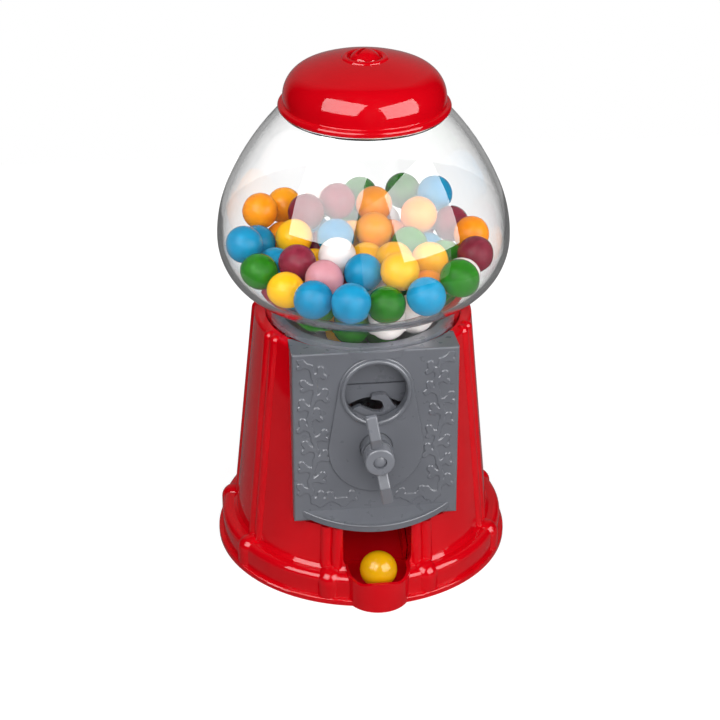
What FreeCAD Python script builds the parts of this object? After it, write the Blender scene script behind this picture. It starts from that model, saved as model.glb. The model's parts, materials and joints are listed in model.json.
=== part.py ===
import FreeCAD, Part
import math
import os
import re
import Sketcher
from FreeCAD import Placement, Rotation, Vector

# Gumball machine, millimetres, +Z up, front towards -Y.
# The origin is on the column's axis, on the surface that the machine stands on.

# Driving sizes
SIZES = {
    # moulded base: flange, plinth, tapered column and the ring that seats the globe
    "flange_radius": 58.0,
    "flange_height": 2.2,
    "flange_edge": 0.7,
    "plinth_radius": 56.3,
    "plinth_top": 11.6,
    "plinth_round": 2.8,
    "column_foot_radius": 50.7,
    "column_foot_blend": 1.1,
    "column_top_radius": 41.9,
    "column_top": 97.8,
    "shell_top": 99.0,
    "shell_wall": 2.0,
    "seat_floor": 96.8,
    "seat_thickness": 1.4,
    "seat_bore_radius": 32.6,
    # pilasters on the column and the rounded feet that they end in
    "pilaster_count": 8,
    "pilaster_first": 20.6,
    "pilaster_step": 42.5,
    "rib_radius": 2.6,
    "rib_proud": 1.2,
    "rib_spacing": 4.4,
    "rib_foot": 10.7,
    "rib_top": 97.0,
    "foot_bump_radius": 5.0,
    "foot_bump_height": 8.1,
    "foot_bump_reach": 57.8,
    # tray and chute at the front
    "tray_radius": 12.5,
    "tray_centre_reach": 50.2,
    "tray_wall": 1.4,
    "tray_floor": 5.5,
    "tray_floor_thickness": 1.8,
    "chute_half_width": 13.2,
    "lip_height": 13.0,
    "lip_hump_radius": 14.2,
    "lip_slope": 25.0,
    "cheek_thickness": 1.8,
    "cheek_front_reach": 46.0,
    "cheek_back_reach": 15.0,
    # front plate
    "plate_width": 62.5,
    "plate_height": 69.4,
    "plate_foot_height": 31.0,
    "plate_foot_reach": 43.25,
    "plate_tilt": 4.1,
    "plate_wall": 1.8,
    "plate_depth": 15.0,
    "plate_edge_radius": 0.8,
    "plate_gap": 0.15,
    "plate_top_seat": 97.4,
    "opening_half_width": 27.0,
    "opening_back_reach": 25.0,
    "bulge_wall": 1.8,
    "visor_radius": 51.4,
    "visor_root_height": 35.0,
    "visor_slope": 23.5,
    "visor_thickness": 1.9,
    "panel_raise": 0.8,
    "panel_low_radius": 17.6,
    "panel_low_drop": 0.5,
    "panel_high_radius": 13.8,
    "window_height": 52.8,
    "window_radius": 11.65,
    "window_rim_radius": 0.9,
    "window_tube_depth": 3.0,
    "window_tube_wall": 1.2,
    # handle, shaft and what turns with them
    "shaft_height": 61.0,
    "shaft_radius": 3.0,
    "running_gap": 0.05,
    "side_gap": 0.2,
    "bush_radius": 4.6,
    "bush_flange_radius": 6.05,
    "bush_front_reach": 46.0,
    "bush_seat_reach": 41.0,
    "bush_back_reach": 37.6,
    "washer_radius": 5.2,
    "washer_thickness": 0.8,
    "hub_radius": 5.6,
    "hub_length": 6.2,
    "hub_dimple_radius": 2.6,
    "hub_dimple_depth": 1.5,
    "hub_socket_depth": 3.6,
    "arm_width": 4.3,
    "arm_thickness": 2.7,
    "arm_reach": 19.2,
    "arm_bend_reach": 10.8,
    "arm_root_reach": 3.5,
    "arm_root_lift": 0.8,
    "arm_rise": 4.0,
    "arm_fall": 2.6,
    "arm_edge_radius": 0.7,
    "handle_lean": 10.0,
    "handle_screw_bite": 5.0,
    "press_gap": 0.02,
    "coin_wheel_radius": 16.2,
    "hook_reach": 19.7,
    "coin_wheel_front_reach": 36.3,
    "coin_wheel_thickness": 2.0,
    "coin_wheel_hub_radius": 6.0,
    "coin_wheel_hub_length": 3.0,
    "drum_half_length": 11.0,
    "drum_hub_wall": 1.6,
    "pocket_play": 0.4,
    "pocket_radius": 8.2,
    "clip_radius": 5.2,
    "clip_thickness": 0.9,
    # coin panels behind the window
    "coin_panel_width": 40.0,
    "coin_panel_thickness": 1.6,
    "coin_guide_front_reach": 33.9,
    "coin_guide_rise": 15.0,
    "mech_cover_front_reach": 33.1,
    "coin_slot": 1.4,
    "panel_boss_radius": 2.8,
    "panel_seam_share": 0.42,
    "panel_seam_gap": 0.2,
    "panel_top_gap": 0.4,
    "panel_screw_offset": 17.5,
    # screws
    "screw_radius": 1.2,
    "screw_head_radius": 2.3,
    "screw_head_height": 1.3,
    "screw_fit": 0.05,
    # hopper, drum housing and ramp
    "hopper_flange_radius": 35.2,
    "hopper_mouth_radius": 31.5,
    "hopper_wall": 1.8,
    "throat_radius": 8.6,
    "throat_overlap": 1.2,
    "throat_land": 1.0,
    "housing_gap": 0.5,
    "housing_wall": 1.8,
    "housing_flange_width": 6.5,
    "housing_flange_thickness": 2.2,
    "housing_screw_offset": 8.5,
    "spout_bottom": 30.5,
    "hopper_screw_reach": 34.1,
    "hopper_screw_bite": 1.2,
    "ramp_slope": 18.0,
    "ramp_front_reach": 36.3,
    "ramp_length": 49.0,
    "ramp_side_gap": 0.2,
    "ramp_wall": 1.4,
    "ramp_side_height": 9.0,
    "ramp_post_width": 12.0,
    "ramp_post_length": 4.0,
    "ramp_post_inset": 6.0,
    "ramp_seat_gap": 0.1,
    # bottom cover and coin plug
    "cover_thickness": 3.0,
    "cover_gap": 0.3,
    "cover_boss_radius": 4.0,
    "cover_boss_inset": 3.6,
    "cover_boss_top": 9.9,
    "cover_screw_sink": 2.0,
    "plug_reach": 26.0,
    "plug_radius": 13.0,
    "plug_flange_radius": 15.5,
    "plug_flange_thickness": 1.4,
    "plug_gap": 0.3,
    "plug_lift": 0.2,
    "plug_grip_length": 20.0,
    "plug_grip_width": 4.0,
    "plug_grip_depth": 1.3,
    # globe
    "globe_radius": 55.1,
    "globe_waist_height": 131.0,
    "globe_wall": 2.0,
    "belly_radius": 23.2,
    "belly_angle": 71.0,
    "crown_radius": 48.2,
    "crown_angle": 23.2,
    "shoulder_radius": 100.0,
    "shoulder_angle": 43.0,
    "collar_radius": 37.5,
    "collar_top": 106.4,
    "collar_fillet": 2.8,
    "collar_gap": 0.3,
    "foot_lip_thickness": 1.8,
    "neck_radius": 28.4,
    "neck_foot_height": 180.4,
    "neck_fillet": 6.0,
    "neck_top": 188.0,
    # lid
    "lid_radius": 30.05,
    "lid_rim_radius": 31.8,
    "lid_bottom": 180.7,
    "lid_rim_height": 2.6,
    "lid_spring_height": 185.2,
    "lid_rise": 15.15,
    "lid_side_radius": 11.5,
    "lid_wall": 1.9,
    "lid_gap": 0.4,
    "lid_step_width": 2.6,
    "lid_ring_radius": 7.4,
    "lid_ring_bead": 1.25,
    "button_radius": 5.8,
    "button_rise": 2.9,
    "button_sink": 0.35,
    "button_stem_radius": 2.0,
    "button_stem_length": 4.0,
    "button_slot_turn": 40.0,
    "button_slot_width": 1.2,
    "button_slot_depth": 1.2,
    # gumballs
    "ball_radius": 7.25,
    "ball_gap": 0.12,
    "tray_ball_reach": 52.2,
    "heap_top": 133.0,
    "heap_lean": 0.2,
}

doc = FreeCAD.newDocument("gumball_machine")
sheet = doc.addObject("Spreadsheet::Sheet", "dims")
for row, (alias, size) in enumerate(SIZES.items(), 1):
    sheet.set(f"A{row}", alias)
    sheet.set(f"B{row}", str(size))
    sheet.setAlias(f"B{row}", alias)
doc.recompute()


def tied(text):
    """An expression in which each size's name points at its cell of the sheet."""
    return re.sub(r"[a-z_]+", lambda word: f"dims.{word[0]}" if word[0] in SIZES else word[0], text)


def value(text):
    """The number that an expression comes to."""
    return float(sheet.evalExpression(tied(text)))


def bind(item, **expressions):
    """Tie properties of an object to the sheet; x, y and z stand for its place."""
    for name, text in expressions.items():
        path = f"Placement.Base.{name}" if name in ("x", "y", "z") else name
        item.setExpression(path, tied(text))
    return item


def primitive(kind, label, turn=None, **expressions):
    """A Part primitive with its sizes and its place tied to the sheet."""
    item = doc.addObject(f"Part::{kind}", label)
    if turn:
        item.Placement = Placement(Vector(), turn)
    return bind(item, **expressions)


def box(label, x0, x1, y0, y1, z0, z1):
    """A box between two corners."""
    return primitive(
        "Box", label, x=x0, y=y0, z=z0,
        Length=f"({x1}) - ({x0})", Width=f"({y1}) - ({y0})", Height=f"({z1}) - ({z0})",
    )


def post(label, radius, z0, z1, x="0", y="0"):
    """An upright cylinder."""
    return primitive("Cylinder", label, Radius=radius, Height=f"({z1}) - ({z0})", x=x, y=y, z=z0)


TOWARDS_FRONT = Rotation(Vector(1, 0, 0), 90)


def bar(label, radius, back, front, x="0", z="shaft_height"):
    """A cylinder along Y; back and front are how far its ends reach towards the front."""
    return primitive(
        "Cylinder", label, TOWARDS_FRONT,
        Radius=radius, Height=f"({front}) - ({back})", x=x, y=f"-({back})", z=z,
    )


def fuse(label, *items):
    joined = doc.addObject("Part::MultiFuse", label)
    joined.Shapes = list(items)
    joined.Refine = True
    return joined


def common(label, *items):
    shared = doc.addObject("Part::MultiCommon", label)
    shared.Shapes = list(items)
    shared.Refine = True
    return shared


def cut(label, base, *tools):
    left = doc.addObject("Part::Cut", label)
    left.Base = base
    left.Tool = tools[0] if len(tools) == 1 else fuse(f"{label}_tools", *tools)
    left.Refine = True
    return left


def together(label, items):
    """Separate solids that share one node."""
    several = doc.addObject("Part::Compound", label)
    several.Links = list(items)
    return several


def arc_between(start, end, radius, turn):
    """The short arc of that radius from start to end, turning left (+1) or right (-1)."""
    chord = end - start
    rise = math.sqrt(max(radius ** 2 - (chord.Length / 2) ** 2, 0.0))
    across = Vector(-chord.y, chord.x, 0) / chord.Length
    centre = (start + end) / 2 + across * (rise * turn)
    first, last = (start, end) if turn > 0 else (end, start)
    angles = [math.atan2(spot.y - centre.y, spot.x - centre.x) for spot in (first, last)]
    if angles[1] < angles[0]:
        angles[1] += 2 * math.pi
    return Part.ArcOfCircle(Part.Circle(centre, Vector(0, 0, 1), radius), *angles)


def draw(sketch, corners):
    """Draw a closed outline with every corner tied to the sheet.

    A corner is (across, up), reached by a straight line, or (across, up, radius, turn),
    reached by an arc that turns left (+1) or right (-1).
    """
    spots = [Vector(value(corner[0]), value(corner[1]), 0) for corner in corners]
    ends = []
    for index, corner in enumerate(corners):
        start, end = spots[index - 1], spots[index]
        if len(corner) == 2:
            sketch.addGeometry(Part.LineSegment(start, end))
            ends.append((1, 2))
        else:
            sketch.addGeometry(arc_between(start, end, value(corner[2]), corner[3]))
            ends.append((1, 2) if corner[3] > 0 else (2, 1))
    for index, corner in enumerate(corners):
        following = (index + 1) % len(corners)
        sketch.addConstraint(
            Sketcher.Constraint("Coincident", index, ends[index][1], following, ends[following][0])
        )
        for kind, text in zip(("DistanceX", "DistanceY"), corner[:2]):
            rule = sketch.addConstraint(
                Sketcher.Constraint(kind, -1, 1, index, ends[index][1], value(text))
            )
            sketch.setExpression(f"Constraints[{rule}]", tied(text))
        if len(corner) > 2:
            rule = sketch.addConstraint(Sketcher.Constraint("Radius", index, value(corner[2])))
            sketch.setExpression(f"Constraints[{rule}]", tied(corner[2]))


def sketched_body(label, plane, corners):
    """A body with one outline on one of its own origin planes."""
    body = doc.addObject("PartDesign::Body", label)
    sketch = body.newObject("Sketcher::SketchObject", f"{label}_outline")
    support = next(item for item in body.Origin.OriginFeatures if item.Role == plane)
    sketch.AttachmentSupport = [(support, "")]
    sketch.MapMode = "FlatFace"
    draw(sketch, corners)
    return body, sketch


def turned(label, corners):
    """A body turned about Z from an outline of (radius, height) corners."""
    body, sketch = sketched_body(label, "XZ_Plane", corners)
    solid = body.newObject("PartDesign::Revolution", f"{label}_turned")
    solid.Profile = sketch
    solid.ReferenceAxis = (sketch, ["V_Axis"])
    solid.Angle = 360.0
    return body


def padded(label, plane, corners, length, midplane=False):
    """A body padded from an outline."""
    body, sketch = sketched_body(label, plane, corners)
    solid = body.newObject("PartDesign::Pad", f"{label}_padded")
    solid.Profile = sketch
    solid.Midplane = midplane
    solid.setExpression("Length", tied(length))
    return body


def polar(centre, radius, angle):
    """A corner at an angle on a circle, as two expressions."""
    across, up = centre
    return (f"({across}) + ({radius}) * cos({angle})", f"({up}) + ({radius}) * sin({angle})")


def rounded(label, base, radius, chosen=lambda edge: True):
    """The base with its edges, or those that a test picks, rounded off."""
    doc.recompute()
    smooth = doc.addObject("Part::Fillet", label)
    smooth.Base = base
    size = value(radius)
    picked = [number for number, edge in enumerate(base.Shape.Edges, 1) if chosen(edge)]
    smooth.Edges = [(number, size, size) for number in picked]
    return smooth


NODES = []


def node(item, label):
    """Give a finished sub-part its name."""
    item.Label = label
    NODES.append(item)
    return item


# Places on the front plate, which leans back: across, up along the plate, out of its face
PLATE_TURN = Rotation(Vector(1, 0, 0), 90 - value("plate_tilt"))


def plate_spot(across, up, out):
    """Where a spot of the plate lies, as expressions."""
    return {
        "x": across,
        "y": f"-plate_foot_reach + ({up}) * sin(plate_tilt) - ({out}) * cos(plate_tilt)",
        "z": f"plate_foot_height + ({up}) * cos(plate_tilt) + ({out}) * sin(plate_tilt)",
    }


def plate_box(label, x0, x1, up0, up1, out0, out1):
    """A box square to the plate."""
    return primitive(
        "Box", label, PLATE_TURN, **plate_spot(x0, up0, out0),
        Length=f"({x1}) - ({x0})", Width=f"({up1}) - ({up0})", Height=f"({out1}) - ({out0})",
    )


def plate_post(label, radius, out0, out1, across="0", up="0"):
    """A cylinder square to the plate."""
    return primitive(
        "Cylinder", label, PLATE_TURN, **plate_spot(across, up, out0),
        Radius=radius, Height=f"({out1}) - ({out0})",
    )


# Base shell: a turned outside with ribs, feet and tray, hollowed to an even wall
shell_round = "(shell_top - column_top)"
seat_underside = "(seat_floor - seat_thickness)"
taper = "((column_foot_radius - column_top_radius) / (column_top - plinth_top))"
column_lean = math.degrees(math.atan(value(taper)))


def column_radius(height):
    """The column's radius at a height, as an expression."""
    return f"(column_foot_radius - (({height}) - plinth_top) * {taper})"


blend_top = "(plinth_top + column_foot_blend)"
shell_outside = turned("shell_outside", [
    ("0", "0"),
    ("flange_radius", "0"),
    ("flange_radius", "flange_height - flange_edge"),
    ("flange_radius - flange_edge", "flange_height", "flange_edge", 1),
    ("plinth_radius", "flange_height"),
    ("plinth_radius", "plinth_top - plinth_round"),
    ("plinth_radius - plinth_round", "plinth_top", "plinth_round", 1),
    ("column_foot_radius + column_foot_blend", "plinth_top"),
    (column_radius(blend_top), blend_top),
    ("column_top_radius", "column_top"),
    (f"column_top_radius - {shell_round}", "shell_top", shell_round, 1),
    ("0", "shell_top"),
])
shell_hollow = turned("shell_hollow", [
    ("0", "-shell_wall"),
    ("plinth_radius - shell_wall", "-shell_wall"),
    ("plinth_radius - shell_wall", "plinth_top - shell_wall"),
    ("column_foot_radius - shell_wall", "plinth_top - shell_wall"),
    ("column_top_radius - shell_wall", seat_underside),
    ("0", seat_underside),
])

pilaster_parts = []
for index in range(int(value("pilaster_count"))):
    hand = 1 if index % 2 else -1
    azimuth = f"({hand} * (pilaster_first + {index // 2} * pilaster_step) - 90)"
    upright = Rotation(Vector(0, 0, 1), value(azimuth))
    lean = upright * Rotation(Vector(0, 1, 0), -column_lean)
    inwards = upright * Rotation(Vector(0, 1, 0), -90)
    for side in (-0.5, 0.5):
        for kind, height in (("Cylinder", "rib_foot"), ("Sphere", "rib_top")):
            away = f"({column_radius(height)} + rib_proud - rib_radius)"
            beside = f"({side} * rib_spacing)"
            rib = primitive(
                kind, f"rib_{index}_{kind.lower()}", lean, Radius="rib_radius",
                x=f"{away} * cos({azimuth}) - {beside} * sin({azimuth})",
                y=f"{away} * sin({azimuth}) + {beside} * cos({azimuth})",
                z=height,
            )
            if kind == "Cylinder":
                bind(rib, Height=f"(rib_top - rib_foot) * sqrt(1 + {taper}^2)")
            pilaster_parts.append(rib)
    bump_away = "(foot_bump_reach - foot_bump_radius)"
    bump_x = f"{bump_away} * cos({azimuth})"
    bump_y = f"{bump_away} * sin({azimuth})"
    pilaster_parts.append(post(
        f"bump_{index}_upright", "foot_bump_radius", "0", "foot_bump_height", bump_x, bump_y,
    ))
    pilaster_parts.append(primitive(
        "Sphere", f"bump_{index}_round", Radius="foot_bump_radius",
        x=bump_x, y=bump_y, z="foot_bump_height",
    ))
    pilaster_parts.append(primitive(
        "Cylinder", f"bump_{index}_root", inwards, Radius="foot_bump_radius",
        Height=f"{bump_away} - column_foot_radius + 2 * shell_wall",
        x=bump_x, y=bump_y, z="foot_bump_height",
    ))

visor_drop = "((visor_radius - plate_foot_reach) * tan(visor_slope))"
chute_top = f"(visor_root_height - {visor_drop} - visor_thickness - plate_gap)"
lip_side = "(lip_hump_radius * sin(lip_slope))"
lip_low = "(lip_height - lip_hump_radius * (1 - cos(lip_slope)))"
lip_fillet = f"((chute_half_width - {lip_side}) / (1 + sin(lip_slope)))"
lip_end = f"({lip_low} + {lip_fillet} * cos(lip_slope))"
tray_outside = post("tray_outside", "tray_radius", "0", lip_end, y="-tray_centre_reach")
shell_solid = fuse("shell_solid", shell_outside, tray_outside, *pilaster_parts)
chute_mouth = padded("chute_mouth", "XZ_Plane", [
    (f"-{lip_side}", lip_low, lip_fillet, 1),
    (lip_side, lip_low, "lip_hump_radius", -1),
    ("chute_half_width", lip_end, lip_fillet, 1),
    ("chute_half_width", chute_top),
    ("-chute_half_width", chute_top),
    ("-chute_half_width", lip_end),
], "flange_radius + tray_radius - cheek_back_reach")
bind(chute_mouth, y="-cheek_back_reach")
tray_half = "(tray_radius - tray_wall)"
tray_tools = [
    chute_mouth,
    post("tray_inside", tray_half, "tray_floor", chute_top, y="-tray_centre_reach"),
    box(
        "tray_way", f"-{tray_half}", tray_half, "-tray_centre_reach",
        "tray_radius - cheek_back_reach", "tray_floor", chute_top,
    ),
    post(
        "tray_underside", tray_half, "-shell_wall", "tray_floor - tray_floor_thickness",
        y="-tray_centre_reach",
    ),
]
seat_tools = [
    post("seat_bore", "seat_bore_radius", f"{seat_underside} - shell_wall", "shell_top + shell_wall"),
    post("seat_socket", "collar_radius + collar_gap", "seat_floor", "shell_top + shell_wall"),
]
plate_half = "(plate_width / 2 + plate_gap)"
plate_tools = [
    plate_box(
        "plate_room", f"-{plate_half}", plate_half, "-plate_gap", "plate_height + plate_depth",
        "-plate_wall - plate_gap", "visor_radius",
    ),
    box(
        "visor_room", f"-{plate_half}", plate_half, "-visor_radius - shell_wall",
        "-plate_foot_reach", chute_top, "visor_root_height",
    ),
    box(
        "plate_opening", "-opening_half_width", "opening_half_width", "-visor_radius",
        "-opening_back_reach", chute_top, seat_underside,
    ),
    box(
        "plate_top_room", f"-{plate_half}", plate_half, "-visor_radius", "-opening_back_reach",
        "plate_top_seat", "shell_top + shell_wall",
    ),
]
cheeks = [
    box(
        f"cheek_{side}", low, high, "-cheek_front_reach", "-cheek_back_reach",
        "tray_floor - tray_floor_thickness", chute_top,
    )
    for side, low, high in (
        ("left", "-chute_half_width - cheek_thickness", "-chute_half_width"),
        ("right", "chute_half_width", "chute_half_width + cheek_thickness"),
    )
]

COVER_SCREW_AZIMUTHS = (45, 135, 225, 315)
cover_screw_away = "(plinth_radius - shell_wall - cover_boss_inset)"
cover_screw_spots = [
    (f"{cover_screw_away} * cos({azimuth})", f"{cover_screw_away} * sin({azimuth})")
    for azimuth in COVER_SCREW_AZIMUTHS
]
cover_bosses = [
    post(f"cover_boss_{index}", "cover_boss_radius", "cover_thickness", "cover_boss_top", *spot)
    for index, spot in enumerate(cover_screw_spots)
]
cover_pilots = [
    post(f"cover_pilot_{index}", "screw_radius + screw_fit", "0", "cover_boss_top - shell_wall", *spot)
    for index, spot in enumerate(cover_screw_spots)
]
HOPPER_SCREW_AZIMUTHS = (90, 210, 330)
hopper_screw_spots = [
    (f"hopper_screw_reach * cos({azimuth})", f"hopper_screw_reach * sin({azimuth})")
    for azimuth in HOPPER_SCREW_AZIMUTHS
]
hopper_pilots = [
    post(
        f"hopper_pilot_{index}", "screw_radius + screw_fit", f"{seat_underside} - shell_wall",
        "seat_floor + foot_lip_thickness + hopper_screw_bite", *spot,
    )
    for index, spot in enumerate(hopper_screw_spots)
]
chute_floor = box(
    "chute_floor", "-chute_half_width", "chute_half_width", "-tray_centre_reach",
    "tray_floor_thickness / 2 - ramp_front_reach", "tray_floor - tray_floor_thickness", "tray_floor",
)
shell_walls = cut("shell_walls", shell_solid, shell_hollow)
shell_filled = fuse("shell_filled", shell_walls, chute_floor, *cheeks, *cover_bosses)
tray_block = common(
    "tray_block", tray_outside,
    box(
        "tray_block_limit", "-tray_radius", "tray_radius", "-tray_centre_reach - tray_radius",
        "tray_radius - tray_centre_reach", "0", "tray_floor",
    ),
)
base_shell = cut(
    "base_shell_cut", fuse("shell_with_tray", shell_filled, tray_block),
    *tray_tools, *seat_tools, *plate_tools, *cover_pilots, *hopper_pilots,
)
node(base_shell, "base_shell")

# Front plate: a leaning cap with a visor, a raised drop-shaped panel and a round window
foot = Vector(0, -value("plate_foot_reach"), value("plate_foot_height"))
outwards = PLATE_TURN.multVec(Vector(0, 0, 1))
plate_block = plate_box(
    "plate_block", "-plate_width / 2", "plate_width / 2", "0", "plate_height", "-plate_depth", "0",
)


def on_front_face(edge):
    """True for an edge that lies in the plate's front face."""
    return all(abs((corner.Point - foot).dot(outwards)) < 1e-6 for corner in edge.Vertexes)


plate_inside = plate_box(
    "plate_inside", "-plate_width / 2 + plate_wall", "plate_width / 2 - plate_wall",
    "-plate_wall", "plate_height - plate_wall", "-plate_depth - plate_wall", "-plate_wall",
)
column_body = fuse(
    "column_body",
    primitive(
        "Cone", "column_cone", z="plinth_top", Height="column_top - plinth_top",
        Radius1="column_foot_radius + plate_gap", Radius2="column_top_radius + plate_gap",
    ),
    post("column_head", "column_top_radius + plate_gap", "column_top - plate_gap", "shell_top"),
)
plate_cap = cut(
    "plate_cap", rounded("plate_soft_block", plate_block, "plate_edge_radius", on_front_face),
    plate_inside, cut("column_left", column_body, *plate_tools),
)

visor_start = "(plate_foot_reach - plate_wall)"
visor_end = "(visor_radius + visor_thickness)"
visor_high = "(visor_root_height + plate_wall * tan(visor_slope))"
visor_low = f"(visor_root_height - ({visor_end} - plate_foot_reach) * tan(visor_slope))"
visor = common(
    "visor",
    padded("visor_slab", "YZ_Plane", [
        (f"-{visor_start}", f"{visor_high} - visor_thickness"),
        (f"-{visor_start}", visor_high),
        (f"-{visor_end}", visor_low),
        (f"-{visor_end}", f"{visor_low} - visor_thickness"),
    ], "plate_width - 2 * plate_wall", midplane=True),
    post("visor_round", "visor_radius", "0", "shell_top"),
)

panel_low_height = "((shaft_height - plate_foot_height) / cos(plate_tilt) - panel_low_drop)"
panel_rise = f"(window_height - {panel_low_height})"
panel_lean = f"asin((panel_low_radius - panel_high_radius) / {panel_rise})"
low_side = polar(("0", panel_low_height), "panel_low_radius", panel_lean)
high_side = polar(("0", "window_height"), "panel_high_radius", panel_lean)
drop_panel = padded("drop_panel", "XY_Plane", [
    ("0", f"{panel_low_height} - panel_low_radius", "panel_low_radius", 1),
    (*low_side, "panel_low_radius", 1),
    high_side,
    ("0", "window_height + panel_high_radius", "panel_high_radius", 1),
    (f"-({high_side[0]})", high_side[1], "panel_high_radius", 1),
    (f"-({low_side[0]})", low_side[1]),
], "plate_wall + panel_raise")
drop_panel.Placement = Placement(Vector(), PLATE_TURN)
bind(drop_panel, **plate_spot("0", "0", "-plate_wall"))
window_tube = plate_post(
    "window_tube", "window_radius + window_tube_wall", "-window_tube_depth", "0", up="window_height",
)
window_rim = primitive(
    "Torus", "window_rim", PLATE_TURN, **plate_spot("0", "window_height", "panel_raise"),
    Radius1="window_radius + window_rim_radius", Radius2="window_rim_radius",
)
window_hole = plate_post(
    "window_hole", "window_radius", "-plate_depth", "plate_depth", up="window_height",
)
collar_room = post("collar_room", "collar_radius + collar_gap", seat_underside, "collar_top")
bulge_radius = "(collar_radius + collar_gap + bulge_wall)"
plate_top = "(plate_foot_height + plate_height * cos(plate_tilt))"
bulge = common(
    "bulge", post("bulge_round", bulge_radius, "plate_top_seat", plate_top),
    plate_box(
        "bulge_limit", "-plate_width / 2", "plate_width / 2", "0", "plate_height",
        "-plate_wall", "plate_wall",
    ),
)
coin_guide_bottom = "(shaft_height + coin_guide_rise)"
panel_top = f"({seat_underside} - panel_top_gap)"
panel_seam = f"({coin_guide_bottom} + panel_seam_share * ({panel_top} - {coin_guide_bottom}))"
panel_screws = [
    (f"{side} * panel_screw_offset", height, reach)
    for height, reach in (
        (f"(({coin_guide_bottom} + {panel_seam}) / 2)", "coin_guide_front_reach"),
        (f"(({panel_seam} + {panel_top}) / 2)", "mech_cover_front_reach"),
    )
    for side in (-1, 1)
]


def plate_middle(height):
    """How far forward the middle of the plate's wall is at a height."""
    return f"(plate_foot_reach - (({height}) - plate_foot_height) * tan(plate_tilt) - plate_wall / 2)"


panel_bosses = [
    bar("panel_boss", "panel_boss_radius", reach, plate_middle(height), across, height)
    for across, height, reach in panel_screws
]
panel_pilots = [
    bar("panel_pilot", "screw_radius + screw_fit", reach, plate_middle(height), across, height)
    for across, height, reach in panel_screws
]
bush_tools = [
    bar("bush_hole", "bush_radius + screw_fit", "bush_back_reach", "bush_front_reach"),
    bar("bush_seat", "bush_flange_radius + collar_gap", "bush_seat_reach", "visor_radius"),
]
front_plate = cut(
    "front_plate_cut",
    fuse(
        "plate_with_trim", plate_cap, visor, drop_panel, window_tube, window_rim, bulge, *panel_bosses,
    ),
    window_hole, collar_room, *panel_pilots, *bush_tools,
)
node(front_plate, "front_plate")

# Coin panels behind the window, each held by two screws
coin_half = "(coin_panel_width / 2)"


def coin_panel(label, reach, bottom, top):
    """A flat panel that stands behind the plate."""
    return box(
        label, f"-{coin_half}", coin_half, f"-{reach}", f"coin_panel_thickness - {reach}", bottom, top,
    )


panel_screw_holes = [
    bar(
        "panel_hole", "screw_radius + screw_fit", f"{reach} - 2 * coin_panel_thickness", reach,
        across, height,
    )
    for across, height, reach in panel_screws
]
coin_guide = cut(
    "coin_guide_cut",
    coin_panel("coin_guide_blank", "coin_guide_front_reach", coin_guide_bottom, panel_seam),
    bar("coin_slot_edge", "coin_wheel_radius + coin_slot", "opening_back_reach", "visor_radius"),
    *panel_screw_holes[:2],
)
node(coin_guide, "coin_guide")
mech_cover = cut(
    "mech_cover_cut",
    coin_panel(
        "mech_cover_blank", "mech_cover_front_reach", f"{panel_seam} + panel_seam_gap", panel_top,
    ),
    *panel_screw_holes[2:],
)
node(mech_cover, "mech_cover")


def screw_along_y(label, across, height, back, front):
    """A screw along Y whose head sits behind the face at back."""
    return fuse(
        label,
        bar(f"{label}_shank", "screw_radius", back, front, across, height),
        bar(f"{label}_head", "screw_head_radius", f"{back} - screw_head_height", back, across, height),
    )


def screw_along_z(label, spot, face, tip):
    """An upright screw whose head sits below the face."""
    return fuse(
        label,
        post(f"{label}_shank", "screw_radius", face, tip, *spot),
        post(f"{label}_head", "screw_head_radius", f"{face} - screw_head_height", face, *spot),
    )


node(together("panel_screw_set", [
    screw_along_y(
        "panel_screw", across, height, f"({reach} - coin_panel_thickness)",
        f"({plate_middle(height)} - screw_fit)",
    )
    for across, height, reach in panel_screws
]), "panel_screws")

# Bush, washer, handle and shaft
node(cut(
    "front_bush_cut",
    fuse(
        "bush_solid",
        bar("bush_barrel", "bush_radius", "bush_back_reach", "bush_front_reach"),
        bar("bush_flange", "bush_flange_radius", "bush_seat_reach", "bush_front_reach"),
    ),
    bar("bush_bore", "shaft_radius + running_gap", "opening_back_reach", "visor_radius"),
), "front_bush")

hub_back = "(bush_front_reach + side_gap + washer_thickness)"
hub_front = f"({hub_back} + hub_length)"
shaft_front = f"({hub_back} + hub_socket_depth)"
node(cut(
    "thrust_washer_cut",
    bar("washer_disc", "washer_radius", f"{hub_back} - washer_thickness", hub_back),
    bar("washer_bore", "shaft_radius + running_gap", "0", hub_front),
), "thrust_washer")

arm_back = f"({hub_back} + arm_root_lift)"
arms = []
for side, name in ((1, "upper"), (-1, "lower")):
    back_line = [
        ("arm_root_reach", arm_back),
        ("arm_bend_reach", f"{arm_back} + arm_rise"),
        ("arm_reach", f"{arm_back} + arm_rise - arm_fall"),
    ]
    front_line = [(away, f"{reach} + arm_thickness") for away, reach in reversed(back_line)]
    arm = padded(f"{name}_arm", "YZ_Plane", [
        (f"-({reach})", f"{side} * ({away})") for away, reach in back_line + front_line
    ], "arm_width", midplane=True)
    arm.Placement = Placement(Vector(), Rotation(Vector(0, 1, 0), -value("handle_lean")))
    bind(arm, z="shaft_height")
    arms.append(rounded(f"{name}_arm_soft", arm, "arm_edge_radius"))
hub = bar("hub", "hub_radius", hub_back, hub_front)


def on_hub_front(edge):
    """True for the edge round the hub's front face."""
    return all(abs(corner.Y + value(hub_front)) < 1e-6 for corner in edge.Vertexes)


node(cut(
    "turn_handle_cut",
    fuse("handle_solid", rounded("hub_soft", hub, "arm_edge_radius", on_hub_front), *arms),
    bar("hub_dimple", "hub_dimple_radius", f"{hub_front} - hub_dimple_depth", f"{hub_front} + hub_length"),
    bar("hub_socket", "shaft_radius + screw_fit", "0", shaft_front),
    bar("hub_screw_hole", "screw_radius + screw_fit", shaft_front, hub_front),
), "turn_handle")

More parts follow.
